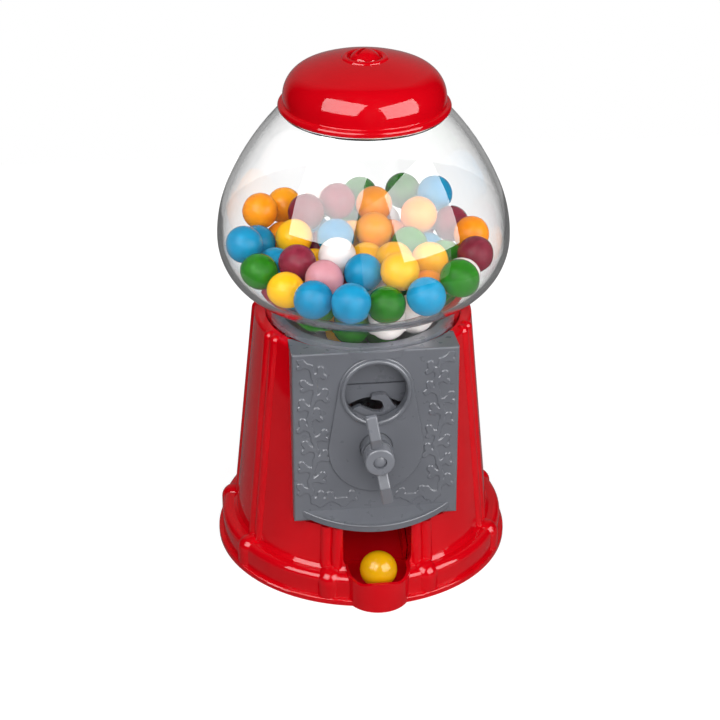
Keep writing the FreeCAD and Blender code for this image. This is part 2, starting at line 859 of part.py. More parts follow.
screw_seat = f"({hub_front} - hub_dimple_depth)"
handle_screw_head = common(
    "handle_screw_head",
    bar("handle_screw_disc", "hub_dimple_radius - collar_gap", screw_seat, f"{hub_front} + hub_length"),
    primitive(
        "Sphere", "handle_screw_dome", Radius="hub_dimple_radius + screw_head_height",
        y=f"-({screw_seat}) + hub_dimple_radius", z="shaft_height",
    ),
)
node(fuse(
    "handle_screw_solid", handle_screw_head,
    bar("handle_screw_shank", "screw_radius", f"{shaft_front} - handle_screw_bite", screw_seat),
), "handle_screw")

drum_radius = "(shaft_radius + drum_hub_wall + 2 * ball_radius + pocket_play)"
housing_inside = f"({drum_radius} + housing_gap)"
housing_outside = f"({housing_inside} + housing_wall)"
housing_room = "(drum_half_length + side_gap)"
housing_half = f"({housing_room} + housing_wall)"
clip_start = f"({housing_half} + side_gap)"
shaft_back = f"(-{clip_start} - 2 * clip_thickness)"
node(cut(
    "drive_shaft_cut", bar("shaft_bar", "shaft_radius", shaft_back, shaft_front),
    bar("shaft_tapping", "screw_radius + screw_fit", f"{shaft_front} - handle_screw_bite", hub_front),
), "drive_shaft")
shaft_fit = bar("shaft_fit", "shaft_radius + press_gap", f"2 * {shaft_back}", hub_front)
node(cut(
    "shaft_clip_cut", bar("clip_disc", "clip_radius", f"-{clip_start} - clip_thickness", f"-{clip_start}"),
    shaft_fit,
), "shaft_clip")

# Coin wheel: a disc with a hook at its top and a notch under the hook for the coin
wheel_back = "(coin_wheel_front_reach - coin_wheel_thickness)"
hook = padded("hook", "XZ_Plane", [
    ("0.54 * coin_wheel_radius", "0.78 * coin_wheel_radius"),
    ("0.29 * coin_wheel_radius", "0.96 * hook_reach"),
    ("0.18 * coin_wheel_radius", "hook_reach", "0.2 * coin_wheel_radius", 1),
    ("-0.06 * coin_wheel_radius", "0.985 * hook_reach"),
    ("-0.09 * coin_wheel_radius", "0.905 * hook_reach"),
    ("0.15 * coin_wheel_radius", "0.86 * hook_reach"),
    ("0.12 * coin_wheel_radius", "0.6 * hook_reach"),
], "coin_wheel_thickness")
notch = padded("notch", "XZ_Plane", [
    ("-0.33 * coin_wheel_radius", "1.1 * coin_wheel_radius"),
    ("-0.33 * coin_wheel_radius", "0.92 * coin_wheel_radius"),
    ("-0.05 * coin_wheel_radius", "0.77 * coin_wheel_radius"),
    ("0.13 * coin_wheel_radius", "0.75 * coin_wheel_radius"),
    ("0.21 * coin_wheel_radius", "0.9 * coin_wheel_radius", "0.13 * coin_wheel_radius", 1),
    ("0.15 * coin_wheel_radius", "0.86 * hook_reach"),
    ("-0.09 * coin_wheel_radius", "0.905 * hook_reach"),
], "3 * coin_wheel_thickness")
bind(hook, y=f"-{wheel_back}", z="shaft_height")
bind(notch, y=f"coin_wheel_thickness - {wheel_back}", z="shaft_height")
node(cut(
    "coin_wheel_cut",
    fuse(
        "coin_wheel_solid", hook,
        bar("coin_wheel_disc", "coin_wheel_radius", wheel_back, "coin_wheel_front_reach"),
        bar("coin_wheel_hub", "coin_wheel_hub_radius", f"{wheel_back} - coin_wheel_hub_length", wheel_back),
    ),
    notch, shaft_fit,
), "coin_wheel")

# Dispensing drum: its one pocket points down, where it has just let a ball go
node(cut(
    "dispensing_drum_cut", bar("drum_solid", drum_radius, "-drum_half_length", "drum_half_length"),
    post(
        "drum_pocket", "pocket_radius", f"shaft_height - {drum_radius}",
        "shaft_height - shaft_radius - drum_hub_wall",
    ),
    shaft_fit,
), "dispensing_drum")

# Hopper and the two halves of the drum's housing, which also carry the shaft
lip_top = "(seat_floor + foot_lip_thickness)"
throat_height = f"(shaft_height + {housing_outside} - throat_overlap)"
funnel = turned("funnel", [
    ("throat_radius", throat_height),
    ("throat_radius + hopper_wall", throat_height),
    ("seat_bore_radius - side_gap", lip_top),
    ("hopper_flange_radius", lip_top),
    ("hopper_flange_radius", f"{lip_top} + hopper_wall"),
    ("hopper_mouth_radius", f"{lip_top} + hopper_wall"),
    ("throat_radius", f"{throat_height} + throat_land"),
])
flange_half = f"({housing_outside} + housing_flange_width)"


def housing_part(label, z0, z1, flange0, flange1):
    """One half of the housing's outside, with its two screw flanges."""
    half = common(
        f"{label}_half", bar(f"{label}_round", housing_outside, f"-{housing_half}", housing_half),
        box(f"{label}_limit", f"-{flange_half}", flange_half, f"-{housing_half}", housing_half, z0, z1),
    )
    flanges = box(
        f"{label}_flanges", f"-{flange_half}", flange_half, f"-{housing_half}", housing_half,
        flange0, flange1,
    )
    return fuse(label, half, flanges)


drum_room = bar("drum_room", housing_inside, f"-{housing_room}", housing_room)
shaft_bore = bar("shaft_bore", "shaft_radius + running_gap", f"-2 * {housing_half}", f"2 * {housing_half}")
throat_bore = post("throat_bore", "throat_radius", "shaft_height", f"{throat_height} + 2 * throat_overlap")
housing_screw_spots = [
    (f"{side} * ({housing_outside} + housing_flange_width / 2)", f"{end} * housing_screw_offset")
    for side in (-1, 1) for end in (-1, 1)
]
housing_pilots = [
    post(
        "housing_pilot", "screw_radius + screw_fit", "shaft_height - 2 * housing_flange_thickness",
        "shaft_height + housing_flange_thickness", *spot,
    )
    for spot in housing_screw_spots
]
saddle = housing_part(
    "saddle", "shaft_height", f"shaft_height + {housing_outside}",
    "shaft_height", "shaft_height + housing_flange_thickness",
)
node(cut(
    "hopper_cut", fuse("hopper_solid", funnel, saddle),
    drum_room, shaft_bore, throat_bore, *housing_pilots, *hopper_pilots,
), "hopper")

spout_half = "(throat_radius + housing_wall)"
cradle_half = housing_part(
    "cradle", f"shaft_height - {housing_outside}", "shaft_height",
    "shaft_height - housing_flange_thickness", "shaft_height",
)
spout = box(
    "spout", f"-{spout_half}", spout_half, f"-{spout_half}", spout_half,
    "spout_bottom", f"shaft_height - 0.8 * {housing_inside}",
)
spout_way = box(
    "spout_way", "-throat_radius", "throat_radius", "-throat_radius", "throat_radius",
    "spout_bottom - housing_wall", "shaft_height",
)
node(cut(
    "drum_cradle_cut", fuse("cradle_solid", cradle_half, spout),
    drum_room, shaft_bore, spout_way, *housing_pilots,
), "drum_cradle")
node(together("cradle_screw_set", [
    screw_along_z(
        "cradle_screw", spot, "(shaft_height - housing_flange_thickness)",
        "(shaft_height + housing_flange_thickness)",
    )
    for spot in housing_screw_spots
]), "cradle_screws")
node(together("hopper_screw_set", [
    screw_along_z("hopper_screw", spot, seat_underside, f"({lip_top} + hopper_screw_bite)")
    for spot in hopper_screw_spots
]), "hopper_screws")

# Ramp from under the drum to the tray, standing on the bottom cover
ramp_half = "(chute_half_width - ramp_side_gap)"
ramp_inside = f"({ramp_half} - ramp_wall)"
ramp_turn = Rotation(Vector(1, 0, 0), value("ramp_slope"))


def ramp_box(label, x0, x1, along0, along1, above0, above1):
    """A box square to the ramp: across, back along its floor, above the floor's underside."""
    return primitive(
        "Box", label, ramp_turn, x=x0,
        y=f"-ramp_front_reach + ({along0}) * cos(ramp_slope) - ({above0}) * sin(ramp_slope)",
        z=f"tray_floor + ramp_seat_gap + ({along0}) * sin(ramp_slope) + ({above0}) * cos(ramp_slope)",
        Length=f"({x1}) - ({x0})", Width=f"({along1}) - ({along0})", Height=f"({above1}) - ({above0})",
    )


ramp_channel = cut(
    "ramp_channel",
    ramp_box("ramp_block", f"-{ramp_half}", ramp_half, "0", "ramp_length", "0", "ramp_side_height"),
    ramp_box(
        "ramp_way", f"-{ramp_inside}", ramp_inside, "-ramp_side_height", "ramp_length - ramp_wall",
        "ramp_wall", "2 * ramp_side_height",
    ),
)
ramp_post_back = "(ramp_length * cos(ramp_slope) - ramp_front_reach - ramp_post_inset)"
ramp_post_top = (
    f"tray_floor + ramp_seat_gap + ({ramp_post_back} - ramp_post_length + ramp_front_reach)"
    " * tan(ramp_slope) + ramp_wall / 2"
)
ramp_post = box(
    "ramp_post", "-ramp_post_width / 2", "ramp_post_width / 2",
    f"{ramp_post_back} - ramp_post_length", ramp_post_back, "cover_thickness", ramp_post_top,
)
node(fuse("chute_ramp_solid", ramp_channel, ramp_post), "chute_ramp")

# Bottom cover with its screws, and the plug that lets the coins out
cover_radius = "(plinth_radius - shell_wall - cover_gap)"
cover_sinks = [
    post("cover_sink", "screw_head_radius + cover_gap", "-cover_thickness", "cover_screw_sink", *spot)
    for spot in cover_screw_spots
]
node(cut(
    "bottom_cover_cut", post("cover_disc", cover_radius, "0", "cover_thickness"),
    post(
        "cover_tray_room", "tray_radius + cover_gap", "-cover_thickness", "tray_floor",
        y="-tray_centre_reach",
    ),
    post("plug_hole", "plug_radius + plug_gap", "0", "2 * cover_thickness", y="plug_reach"),
    post(
        "plug_recess", "plug_flange_radius + plug_gap", "-cover_thickness", "plug_flange_thickness",
        y="plug_reach",
    ),
    *cover_sinks, *cover_pilots,
), "bottom_cover")
node(together("cover_screw_set", [
    screw_along_z("cover_screw", spot, "cover_screw_sink", "(cover_boss_top - shell_wall)")
    for spot in cover_screw_spots
]), "cover_screws")
node(cut(
    "coin_plug_cut",
    fuse(
        "plug_solid",
        post("plug_body", "plug_radius", "plug_lift", "cover_thickness", y="plug_reach"),
        post(
            "plug_flange", "plug_flange_radius", "plug_lift", "plug_flange_thickness - plug_lift / 2",
            y="plug_reach",
        ),
    ),
    box(
        "plug_grip", "-plug_grip_length / 2", "plug_grip_length / 2",
        "plug_reach - plug_grip_width / 2", "plug_reach + plug_grip_width / 2",
        "-plug_lift", "plug_lift + plug_grip_depth",
    ),
), "coin_plug")

# Globe: one clear wall from the foot, over the belly and the crown, to the neck
belly_centre = ("globe_radius - belly_radius", "globe_waist_height")
crown_centre = ("globe_radius - crown_radius", "globe_waist_height")
shoulder_centre = polar(crown_centre, "(crown_radius - shoulder_radius)", "crown_angle")
foot_inner = "(seat_bore_radius + collar_gap)"


def globe_wall(depth):
    """The corners of the globe's wall at a depth under its outside, from belly to shoulder."""
    return [
        polar(belly_centre, f"(belly_radius - {depth})", "-belly_angle"),
        (f"globe_radius - {depth}", "globe_waist_height"),
        polar(crown_centre, f"(crown_radius - {depth})", "crown_angle"),
        polar(shoulder_centre, f"(shoulder_radius - {depth})", "shoulder_angle"),
    ]


outer_wall = globe_wall("0")
inner_wall = globe_wall("globe_wall")
globe_blank = turned("globe_blank", [
    (foot_inner, "seat_floor"),
    ("collar_radius", "seat_floor"),
    ("collar_radius", "collar_top"),
    (*outer_wall[0], "collar_fillet", -1),
    (*outer_wall[1], "belly_radius", 1),
    (*outer_wall[2], "crown_radius", 1),
    (*outer_wall[3], "shoulder_radius", 1),
    ("neck_radius", "neck_foot_height", "neck_fillet", -1),
    ("neck_radius", "neck_top"),
    ("neck_radius - globe_wall", "neck_top"),
    ("neck_radius - globe_wall", "neck_foot_height"),
    (*inner_wall[3], "neck_fillet + globe_wall", 1),
    (*inner_wall[2], "shoulder_radius - globe_wall", -1),
    (*inner_wall[1], "crown_radius - globe_wall", -1),
    (*inner_wall[0], "belly_radius - globe_wall", -1),
    ("collar_radius - globe_wall", "collar_top", "collar_fillet + globe_wall", 1),
    ("collar_radius - globe_wall", lip_top),
    (foot_inner, lip_top),
])
node(cut("globe_cut", globe_blank, *hopper_pilots), "globe")

# Lid: a domed cap with a rolled rim, a step that rests on the neck, a ring and a slotted button
side_centre = ("lid_radius - lid_side_radius", "lid_spring_height")
lid_top = "(lid_spring_height + lid_rise)"
lid_top_radius = (
    "(((lid_radius - lid_side_radius)^2 + lid_rise^2 - lid_side_radius^2)"
    " / (2 * (lid_rise - lid_side_radius)))"
)
lid_angle = f"atan(({lid_top_radius} - lid_rise) / (lid_radius - lid_side_radius))"
lid_bore = "(neck_radius + lid_gap)"
step_radius = f"({lid_bore} - lid_step_width)"
step_top = (
    "lid_spring_height + sqrt((lid_side_radius - lid_wall)^2"
    f" - ({step_radius} - lid_radius + lid_side_radius)^2)"
)
rim_bead = "(lid_rim_height / 2)"
lid_turned = turned("lid_turned", [
    (lid_bore, "lid_bottom"),
    (f"lid_rim_radius - {rim_bead}", "lid_bottom"),
    ("lid_rim_radius", f"lid_bottom + {rim_bead}", rim_bead, 1),
    (f"lid_rim_radius - {rim_bead}", "lid_bottom + lid_rim_height", rim_bead, 1),
    ("lid_radius", "lid_bottom + lid_rim_height"),
    ("lid_radius", "lid_spring_height"),
    (*polar(side_centre, "lid_side_radius", lid_angle), "lid_side_radius", 1),
    ("0", lid_top, lid_top_radius, 1),
    ("0", f"{lid_top} - lid_wall"),
    (*polar(side_centre, "(lid_side_radius - lid_wall)", lid_angle), f"{lid_top_radius} - lid_wall", -1),
    (step_radius, step_top, "lid_side_radius - lid_wall", -1),
    (step_radius, "neck_top"),
    (lid_bore, "neck_top"),
])
button_seat = f"({lid_top} - button_sink)"
lid_ring = primitive(
    "Torus", "lid_ring", z=button_seat, Radius1="lid_ring_radius", Radius2="lid_ring_bead",
)
node(cut(
    "lid_cap_cut", fuse("lid_solid", lid_turned, lid_ring),
    post("button_room", "lid_ring_radius - lid_ring_bead", button_seat, f"{lid_top} + lid_rise"),
    post("button_stem_hole", "button_stem_radius + screw_fit", "neck_top", f"{lid_top} + lid_rise"),
), "lid_cap")
button_dome = "((button_radius^2 + button_rise^2) / (2 * button_rise))"
button_turned = turned("button_turned", [
    ("0", f"{button_seat} - button_stem_length"),
    ("button_stem_radius", f"{button_seat} - button_stem_length"),
    ("button_stem_radius", button_seat),
    ("button_radius", button_seat),
    ("0", f"{button_seat} + button_rise", button_dome, 1),
])
slot_turn = Rotation(Vector(0, 0, 1), value("button_slot_turn"))
button_slot = primitive(
    "Box", "button_slot", slot_turn,
    x="-button_radius * cos(button_slot_turn) + button_slot_width / 2 * sin(button_slot_turn)",
    y="-button_radius * sin(button_slot_turn) - button_slot_width / 2 * cos(button_slot_turn)",
    z=f"{button_seat} + button_rise - button_slot_depth",
    Length="2 * button_radius", Width="button_slot_width", Height="2 * button_slot_depth",
)
node(cut("lid_button_cut", button_turned, button_slot), "lid_button")

# Gumballs: rings of balls laid in layers, then let down until they lie against each other
heap = {name: value(text) for name, text in {
    "spacing": "2 * ball_radius + ball_gap",
    "reach": "ball_radius + ball_gap",
    "waist": "globe_waist_height",
    "belly_centre": "globe_radius - belly_radius",
    "belly_room": "belly_radius - globe_wall - ball_radius - ball_gap",
    "crown_centre": "globe_radius - crown_radius",
    "crown_room": "crown_radius - globe_wall - ball_radius - ball_gap",
    "corner_radius": "collar_radius + collar_fillet",
    "corner_height": "collar_top",
    "corner_room": "collar_fillet + globe_wall + ball_radius + ball_gap",
    "collar_room": "collar_radius - globe_wall - ball_radius - ball_gap",
    "mouth_radius": "hopper_mouth_radius",
    "mouth_height": f"{lip_top} + hopper_wall",
    "throat_radius": "throat_radius",
    "throat_height": f"{throat_height} + throat_land",
    "lowest": f"shaft_height + {drum_radius} + ball_radius + collar_gap",
    "top": "heap_top",
    "lean": "heap_lean",
}.items()}
funnel_run = heap["mouth_radius"] - heap["throat_radius"]
funnel_rise = heap["mouth_height"] - heap["throat_height"]
funnel_length = math.hypot(funnel_run, funnel_rise)
LAYER_SHARE = 0.84
RING_STEP = 0.0171 * heap["spacing"]
SWAY = 0.16416 * heap["spacing"]
FALL = 0.01505 * heap["spacing"]
SETTLING_STEPS = 420
FREE_STEPS = 260


def kept_inside(ball):
    """The ball's centre, moved no further than the globe and the hopper call for."""
    x, y, z = ball
    away = math.hypot(x, y)
    spot = away
    z = max(z, heap["lowest"])
    if z > heap["waist"]:
        centre, room = heap["crown_centre"], heap["crown_room"]
    else:
        centre, room = heap["belly_centre"], heap["belly_room"]
    if spot > centre:
        far = math.hypot(spot - centre, z - heap["waist"])
        if far > room:
            spot = centre + (spot - centre) * room / far
            z = heap["waist"] + (z - heap["waist"]) * room / far
    near = math.hypot(spot - heap["corner_radius"], z - heap["corner_height"])
    if z > heap["corner_height"] and near < heap["corner_room"]:
        spot = heap["corner_radius"] + (spot - heap["corner_radius"]) * heap["corner_room"] / near
        z = heap["corner_height"] + (z - heap["corner_height"]) * heap["corner_room"] / near
    if z <= heap["corner_height"]:
        spot = min(spot, heap["collar_room"])
    above = (z - heap["throat_height"]) * funnel_run - (spot - heap["throat_radius"]) * funnel_rise
    lack = heap["reach"] - above / funnel_length
    if lack > 0:
        spot -= lack * funnel_rise / funnel_length
        z += lack * funnel_run / funnel_length
    share = spot / away if away > 1e-9 else 1.0
    return [x * share, y * share, z]


def widest_at(z):
    """How far from the axis a ball's centre can be at a height."""
    away = 0.0
    while kept_inside([away + RING_STEP, 0.0, z]) == [away + RING_STEP, 0.0, z]:
        away += RING_STEP
    return away


def laid_out():
    """Rings of balls from the hopper up to the heap's top, which rises towards the back."""
    balls = [[0.0, 0.0, heap["lowest"]]]
    layer = 0
    z = heap["lowest"] + heap["spacing"] * LAYER_SHARE
    while z < heap["waist"] + heap["spacing"]:
        ring = 0
        away = widest_at(z)
        while away > 0:
            count = max(1, int(2 * math.pi * away / heap["spacing"]))
            for place in range(count):
                angle = 2 * math.pi * (place + 0.5 * layer + 0.3 * ring) / count
                sway = SWAY * math.sin(7.0 * len(balls))
                ball = [away * math.cos(angle) + sway, away * math.sin(angle) - sway, z]
                if z < heap["top"] + heap["lean"] * ball[1]:
                    balls.append(ball)
            ring += 1
            away -= heap["spacing"]
        layer += 1
        z += heap["spacing"] * LAYER_SHARE
    return balls


def settled(balls):
    """Let the balls sink, and push each pair apart until no two overlap."""
    for step in range(SETTLING_STEPS + FREE_STEPS):
        fall = FALL * (1 - step / SETTLING_STEPS) if step < SETTLING_STEPS else 0.0
        for ball in balls:
            ball[2] -= fall
        for first in range(len(balls)):
            one = balls[first]
            for second in range(first):
                other = balls[second]
                across = [one[axis] - other[axis] for axis in range(3)]
                if abs(across[2]) > heap["spacing"]:
                    continue
                gap = math.sqrt(sum(part * part for part in across))
                if gap < heap["spacing"]:
                    push = (heap["spacing"] - gap) / (2 * gap)
                    for axis in range(3):
                        one[axis] += across[axis] * push
                        other[axis] -= across[axis] * push
        balls[:] = [kept_inside(ball) for ball in balls]
    return balls


gumballs = settled(laid_out())
COLOURS = {
    "y": "yellow", "o": "orange", "b": "blue", "g": "green", "w": "white", "u": "purple", "p": "pink",
}
COLOUR_ORDER = (
    "guwgboygwgboyuwbbggwogboy"
    "uwgbouuwgbobbgybbbgwuboyu"
    "yupbgyygobwbygybggwoooouu"
)
coloured = {name: [] for name in COLOURS.values()}
for index, (x, y, z) in enumerate(gumballs):
    ball = primitive("Sphere", "gumball", Radius="ball_radius")
    ball.Placement.Base = Vector(x, y, z)
    coloured[COLOURS[COLOUR_ORDER[index % len(COLOUR_ORDER)]]].append(ball)
for name, balls in coloured.items():
    node(together(f"{name}_balls", balls), f"gumballs_{name}")
node(primitive(
    "Sphere", "tray_ball", Radius="ball_radius",
    y="-tray_ball_reach", z="tray_floor + ball_radius + ball_gap",
), "gumball_in_tray")

# Check every object, then write each sub-part
doc.recompute()
for item in doc.Objects:
    if "Invalid" in item.State or "Error" in item.State:
        raise RuntimeError(f"{item.Label} failed: {item.State}")
for item in NODES:
    if item.Shape.isNull() or not item.Shape.isValid():
        raise RuntimeError(f"{item.Label} has no valid shape")
os.makedirs("parts", exist_ok=True)
for item in NODES:
    item.Shape.exportStep(f"parts/{item.Label}.step")
    print(item.Label, len(item.Shape.Solids), round(item.Shape.Volume, 1))
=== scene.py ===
# %% [markdown]
# # A toy gumball machine
# The machine comes packed as a frame: a moulded red base, a grey coin plate with a turning
# handle, a clear globe full of gumballs and a domed lid. The frame already holds every piece
# at its real size. This lesson dresses it: smooth clear and glossy shells, candy, moulded
# ornament, finishes, studio light and a camera. Nothing from the frame is moved.

# %% Load the frame
import json
import math

import bpy
import numpy as np
from mathutils import Matrix, Vector


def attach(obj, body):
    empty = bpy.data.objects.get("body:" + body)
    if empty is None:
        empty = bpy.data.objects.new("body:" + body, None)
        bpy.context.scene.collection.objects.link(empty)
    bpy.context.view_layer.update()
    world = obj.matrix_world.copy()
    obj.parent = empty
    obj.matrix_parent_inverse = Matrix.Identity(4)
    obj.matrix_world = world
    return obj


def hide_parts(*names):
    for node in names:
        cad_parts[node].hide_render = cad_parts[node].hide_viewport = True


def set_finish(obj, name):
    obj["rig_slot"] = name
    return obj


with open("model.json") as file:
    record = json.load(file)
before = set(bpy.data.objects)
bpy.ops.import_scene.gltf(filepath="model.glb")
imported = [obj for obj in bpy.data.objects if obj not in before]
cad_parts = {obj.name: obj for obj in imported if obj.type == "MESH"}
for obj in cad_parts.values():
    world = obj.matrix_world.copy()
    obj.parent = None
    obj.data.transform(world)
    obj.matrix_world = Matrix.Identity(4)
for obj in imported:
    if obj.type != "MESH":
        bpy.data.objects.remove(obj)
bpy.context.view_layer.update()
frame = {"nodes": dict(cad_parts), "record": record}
nodes = frame["nodes"]

# %% [markdown]
# ## Surfaces as grids
# Almost every new piece is a grid of points: rows along one parameter, columns along the
# other. A turned shell is a profile carried round the Z axis, and a ball is the same with a
# pole at each end. Whole arrays go through one formula, so there is no loop over points, and
# the mesh gets the finished coordinates in one go.

# %% Grid helpers
MM = 0.001
CREASE, NO_CREASE = 40.0, 180.0


def grid_quads(rows, columns, wrap_rows=False, wrap_columns=False):
    """Corners of the quads between neighbouring rows and columns of a grid of points.

    A wrapped grid also joins its last row or column to its first.
    """
    row = np.arange(rows if wrap_rows else rows - 1)[:, None]
    column = np.arange(columns if wrap_columns else columns - 1)[None, :]
    above = (row + 1) % rows
    after = (column + 1) % columns
    corners = (
        row * columns + column, row * columns + after,
        above * columns + after, above * columns + column,
    )
    return np.stack(corners, -1).reshape(-1, 4)


def pole_fan(pole, first, columns, upward):
    """Triangles between one pole point and the ring of points that starts at first."""
    column = np.arange(columns)
    after = (column + 1) % columns
    sides = (first + column, first + after) if upward else (first + after, first + column)
    return np.stack((*sides, np.full(columns, pole)), -1)


def new_piece(name, points, faces, body, slot, replaced=(), crease=CREASE):
    """A mesh object at the origin, in metres, that rides on a body of the frame."""
    mesh = bpy.data.meshes.new(name)
    mesh.from_pydata(points.tolist(), [], [face for group in faces for face in group.tolist()])
    mesh.shade_smooth()
    mesh.set_sharp_from_angle(angle=math.radians(crease))
    piece = bpy.data.objects.new(name, mesh)
    bpy.context.scene.collection.objects.link(piece)
    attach(piece, body)
    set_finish(piece, slot)
    if replaced:
        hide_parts(*replaced)
    print(name, len(points), "points on", body)
    return piece


# %% [markdown]
# ## Profiles
# A turned piece needs only its half outline. Straight runs and round stretches are written as
# corners and arcs, in millimetres of radius and height, and each arc is sampled evenly. A
# lathe or a screw modifier could turn them too, but a formula keeps the seam and the poles
# closed.

# %% Profile helpers
ARC_STEP, ARC_LEAST = 2.5, 3
TURNED_COLUMNS = 192


def arc(centre, radius, start, end):
    """Points on a circle about centre between two angles, in degrees."""
    count = max(ARC_LEAST, int(abs(end - start) / ARC_STEP) + 1)
    angle = np.radians(np.linspace(start, end, count))
    return np.stack((centre[0] + radius * np.cos(angle), centre[1] + radius * np.sin(angle)), -1)


def hollow_arc(start, end, radius):
    """The short arc from start to end that curves to the right, as an inside corner does."""
    start, end = np.asarray(start, float), np.asarray(end, float)
    chord = end - start
    length = np.hypot(*chord)
    right = np.array((chord[1], -chord[0])) / length
    centre = (start + end) / 2 + right * math.sqrt(radius ** 2 - length ** 2 / 4)
    angles = [math.degrees(math.atan2(*(spot - centre)[::-1])) for spot in (start, end)]
    turn = (angles[1] - angles[0] + 180) % 360 - 180
    return arc(centre, radius, angles[0], angles[0] + turn)


def polar(centre, radius, degrees):
    """The point at an angle on a circle about centre."""
    angle = math.radians(degrees)
    return (centre[0] + radius * math.cos(angle), centre[1] + radius * math.sin(angle))


def turned(name, profile, body, slot, columns=TURNED_COLUMNS, closed=False, **more):
    """Carry a profile round Z: each point (r, z) becomes (r cos a, r sin a, z) for every angle a.

    A closed profile is a ring's section. An open one starts and ends on the axis, and its two
    end points become the poles.
    """
    profile = np.concatenate([np.atleast_2d(stretch) for stretch in profile]) * MM
    angle = np.linspace(0, 2 * math.pi, columns, endpoint=False)
    ring = profile if closed else profile[1:-1]
    points = np.stack((
        ring[:, :1] * np.cos(angle), ring[:, :1] * np.sin(angle),
        np.repeat(ring[:, 1:], columns, axis=1),
    ), -1).reshape(-1, 3)
    faces = [grid_quads(len(ring), columns, wrap_rows=closed, wrap_columns=True)]
    if not closed:
        poles = np.array(((0, 0, profile[0, 1]), (0, 0, profile[-1, 1])))
        faces.append(pole_fan(len(points), 0, columns, upward=False))
        faces.append(pole_fan(len(points) + 1, len(points) - columns, columns, upward=True))
        points = np.concatenate((points, poles))
    return new_piece(name, points, faces, body, slot, **more)


# %% [markdown]
# ## The clear globe
# The globe is blown from clear plastic with an even wall. A squashed ball with a thickness
# added to it would come close, but its collar and neck would be soft. Here it is one closed
# section, up the outside and down the inside, because light has to bend at both faces for the
# rim to darken and the foot to pull the gumballs about as the real one does.

# %% Globe
WALL = 2.0
WAIST_RADIUS, WAIST_HEIGHT = 55.1, 131.0
BELLY_RADIUS, BELLY_ANGLE = 23.2, -71.0
CROWN_RADIUS, CROWN_ANGLE = 48.2, 23.2
SHOULDER_RADIUS, SHOULDER_ANGLE = 100.0, 44.3
COLLAR_RADIUS, COLLAR_TOP, COLLAR_FILLET = 37.5, 106.4, 2.8
FOOT_INNER, FOOT_BOTTOM, FOOT_LIP = 32.9, 96.8, 1.8
NECK_RADIUS, NECK_FOOT, NECK_TOP, NECK_FILLET = 28.4, 180.6, 188.0, 2.0
belly_centre = (WAIST_RADIUS - BELLY_RADIUS, WAIST_HEIGHT)
crown_centre = (WAIST_RADIUS - CROWN_RADIUS, WAIST_HEIGHT)
shoulder_centre = polar(crown_centre, CROWN_RADIUS - SHOULDER_RADIUS, CROWN_ANGLE)


def globe_side(depth):
    """The globe's side from the collar to the neck, at a depth under its outside."""
    belly = arc(belly_centre, BELLY_RADIUS - depth, BELLY_ANGLE, 0)
    crown = arc(crown_centre, CROWN_RADIUS - depth, 0, CROWN_ANGLE)
    shoulder = arc(shoulder_centre, SHOULDER_RADIUS - depth, CROWN_ANGLE, SHOULDER_ANGLE)
    collar, neck = (COLLAR_RADIUS - depth, COLLAR_TOP), (NECK_RADIUS - depth, NECK_FOOT)
    foot_bend = hollow_arc(collar, belly[0], COLLAR_FILLET + depth)
    neck_bend = hollow_arc(shoulder[-1], neck, NECK_FILLET + depth)
    return np.concatenate((foot_bend[:-1], belly, crown[1:], shoulder[1:], neck_bend[1:]))


globe_shell = turned("globe_shell", [
    (FOOT_INNER, FOOT_BOTTOM),
    (COLLAR_RADIUS, FOOT_BOTTOM),
    globe_side(0),
    (NECK_RADIUS, NECK_TOP),
    (NECK_RADIUS - WALL, NECK_TOP),
    globe_side(WALL)[::-1],
    (COLLAR_RADIUS - WALL, FOOT_BOTTOM + FOOT_LIP),
    (FOOT_INNER, FOOT_BOTTOM + FOOT_LIP),
], "machine", "clear_plastic", closed=True, replaced=["globe"])

# %% [markdown]
# ## The lid
# The lid is a shallow moulded dome with a rolled rim, and a ring on its top holds a button.
# It could be cut from a stretched ball, with rings added for the rim and the seat. One section
# keeps them in a single skin: it runs from the axis down the inside, round the rim and back up
# the outside to the seat of the button, so the shell has its real wall.

# %% Lid
LID_RADIUS, LID_RIM_RADIUS, LID_BOTTOM = 30.05, 31.8, 180.7
LID_SPRING, LID_RISE, LID_SIDE_RADIUS, LID_WALL = 185.2, 15.15, 11.5, 1.9
LID_BORE, LID_STEP, LID_BEAD, LID_FILLET = 28.8, 26.2, 1.3, 0.5
RING_RADIUS, RING_BEAD, RING_START, BUTTON_SEAT = 7.4, 1.25, 18.0, 199.35
side_run = LID_RADIUS - LID_SIDE_RADIUS
side_rise = LID_RISE - LID_SIDE_RADIUS
lid_dome = (side_run ** 2 + LID_RISE ** 2 - LID_SIDE_RADIUS ** 2) / (2 * side_rise)
bead_top = LID_BOTTOM + 2 * LID_BEAD
dome_centre = (0, LID_SPRING + LID_RISE - lid_dome)
side_centre = (side_run, LID_SPRING)
dome_edge = math.degrees(math.atan2(lid_dome - LID_RISE, side_run))
ring_reach = RING_RADIUS + RING_BEAD * math.cos(math.radians(RING_START))
ring_foot = math.degrees(math.acos(ring_reach / lid_dome))
step_edge = math.degrees(math.acos((LID_STEP - side_run) / (LID_SIDE_RADIUS - LID_WALL)))
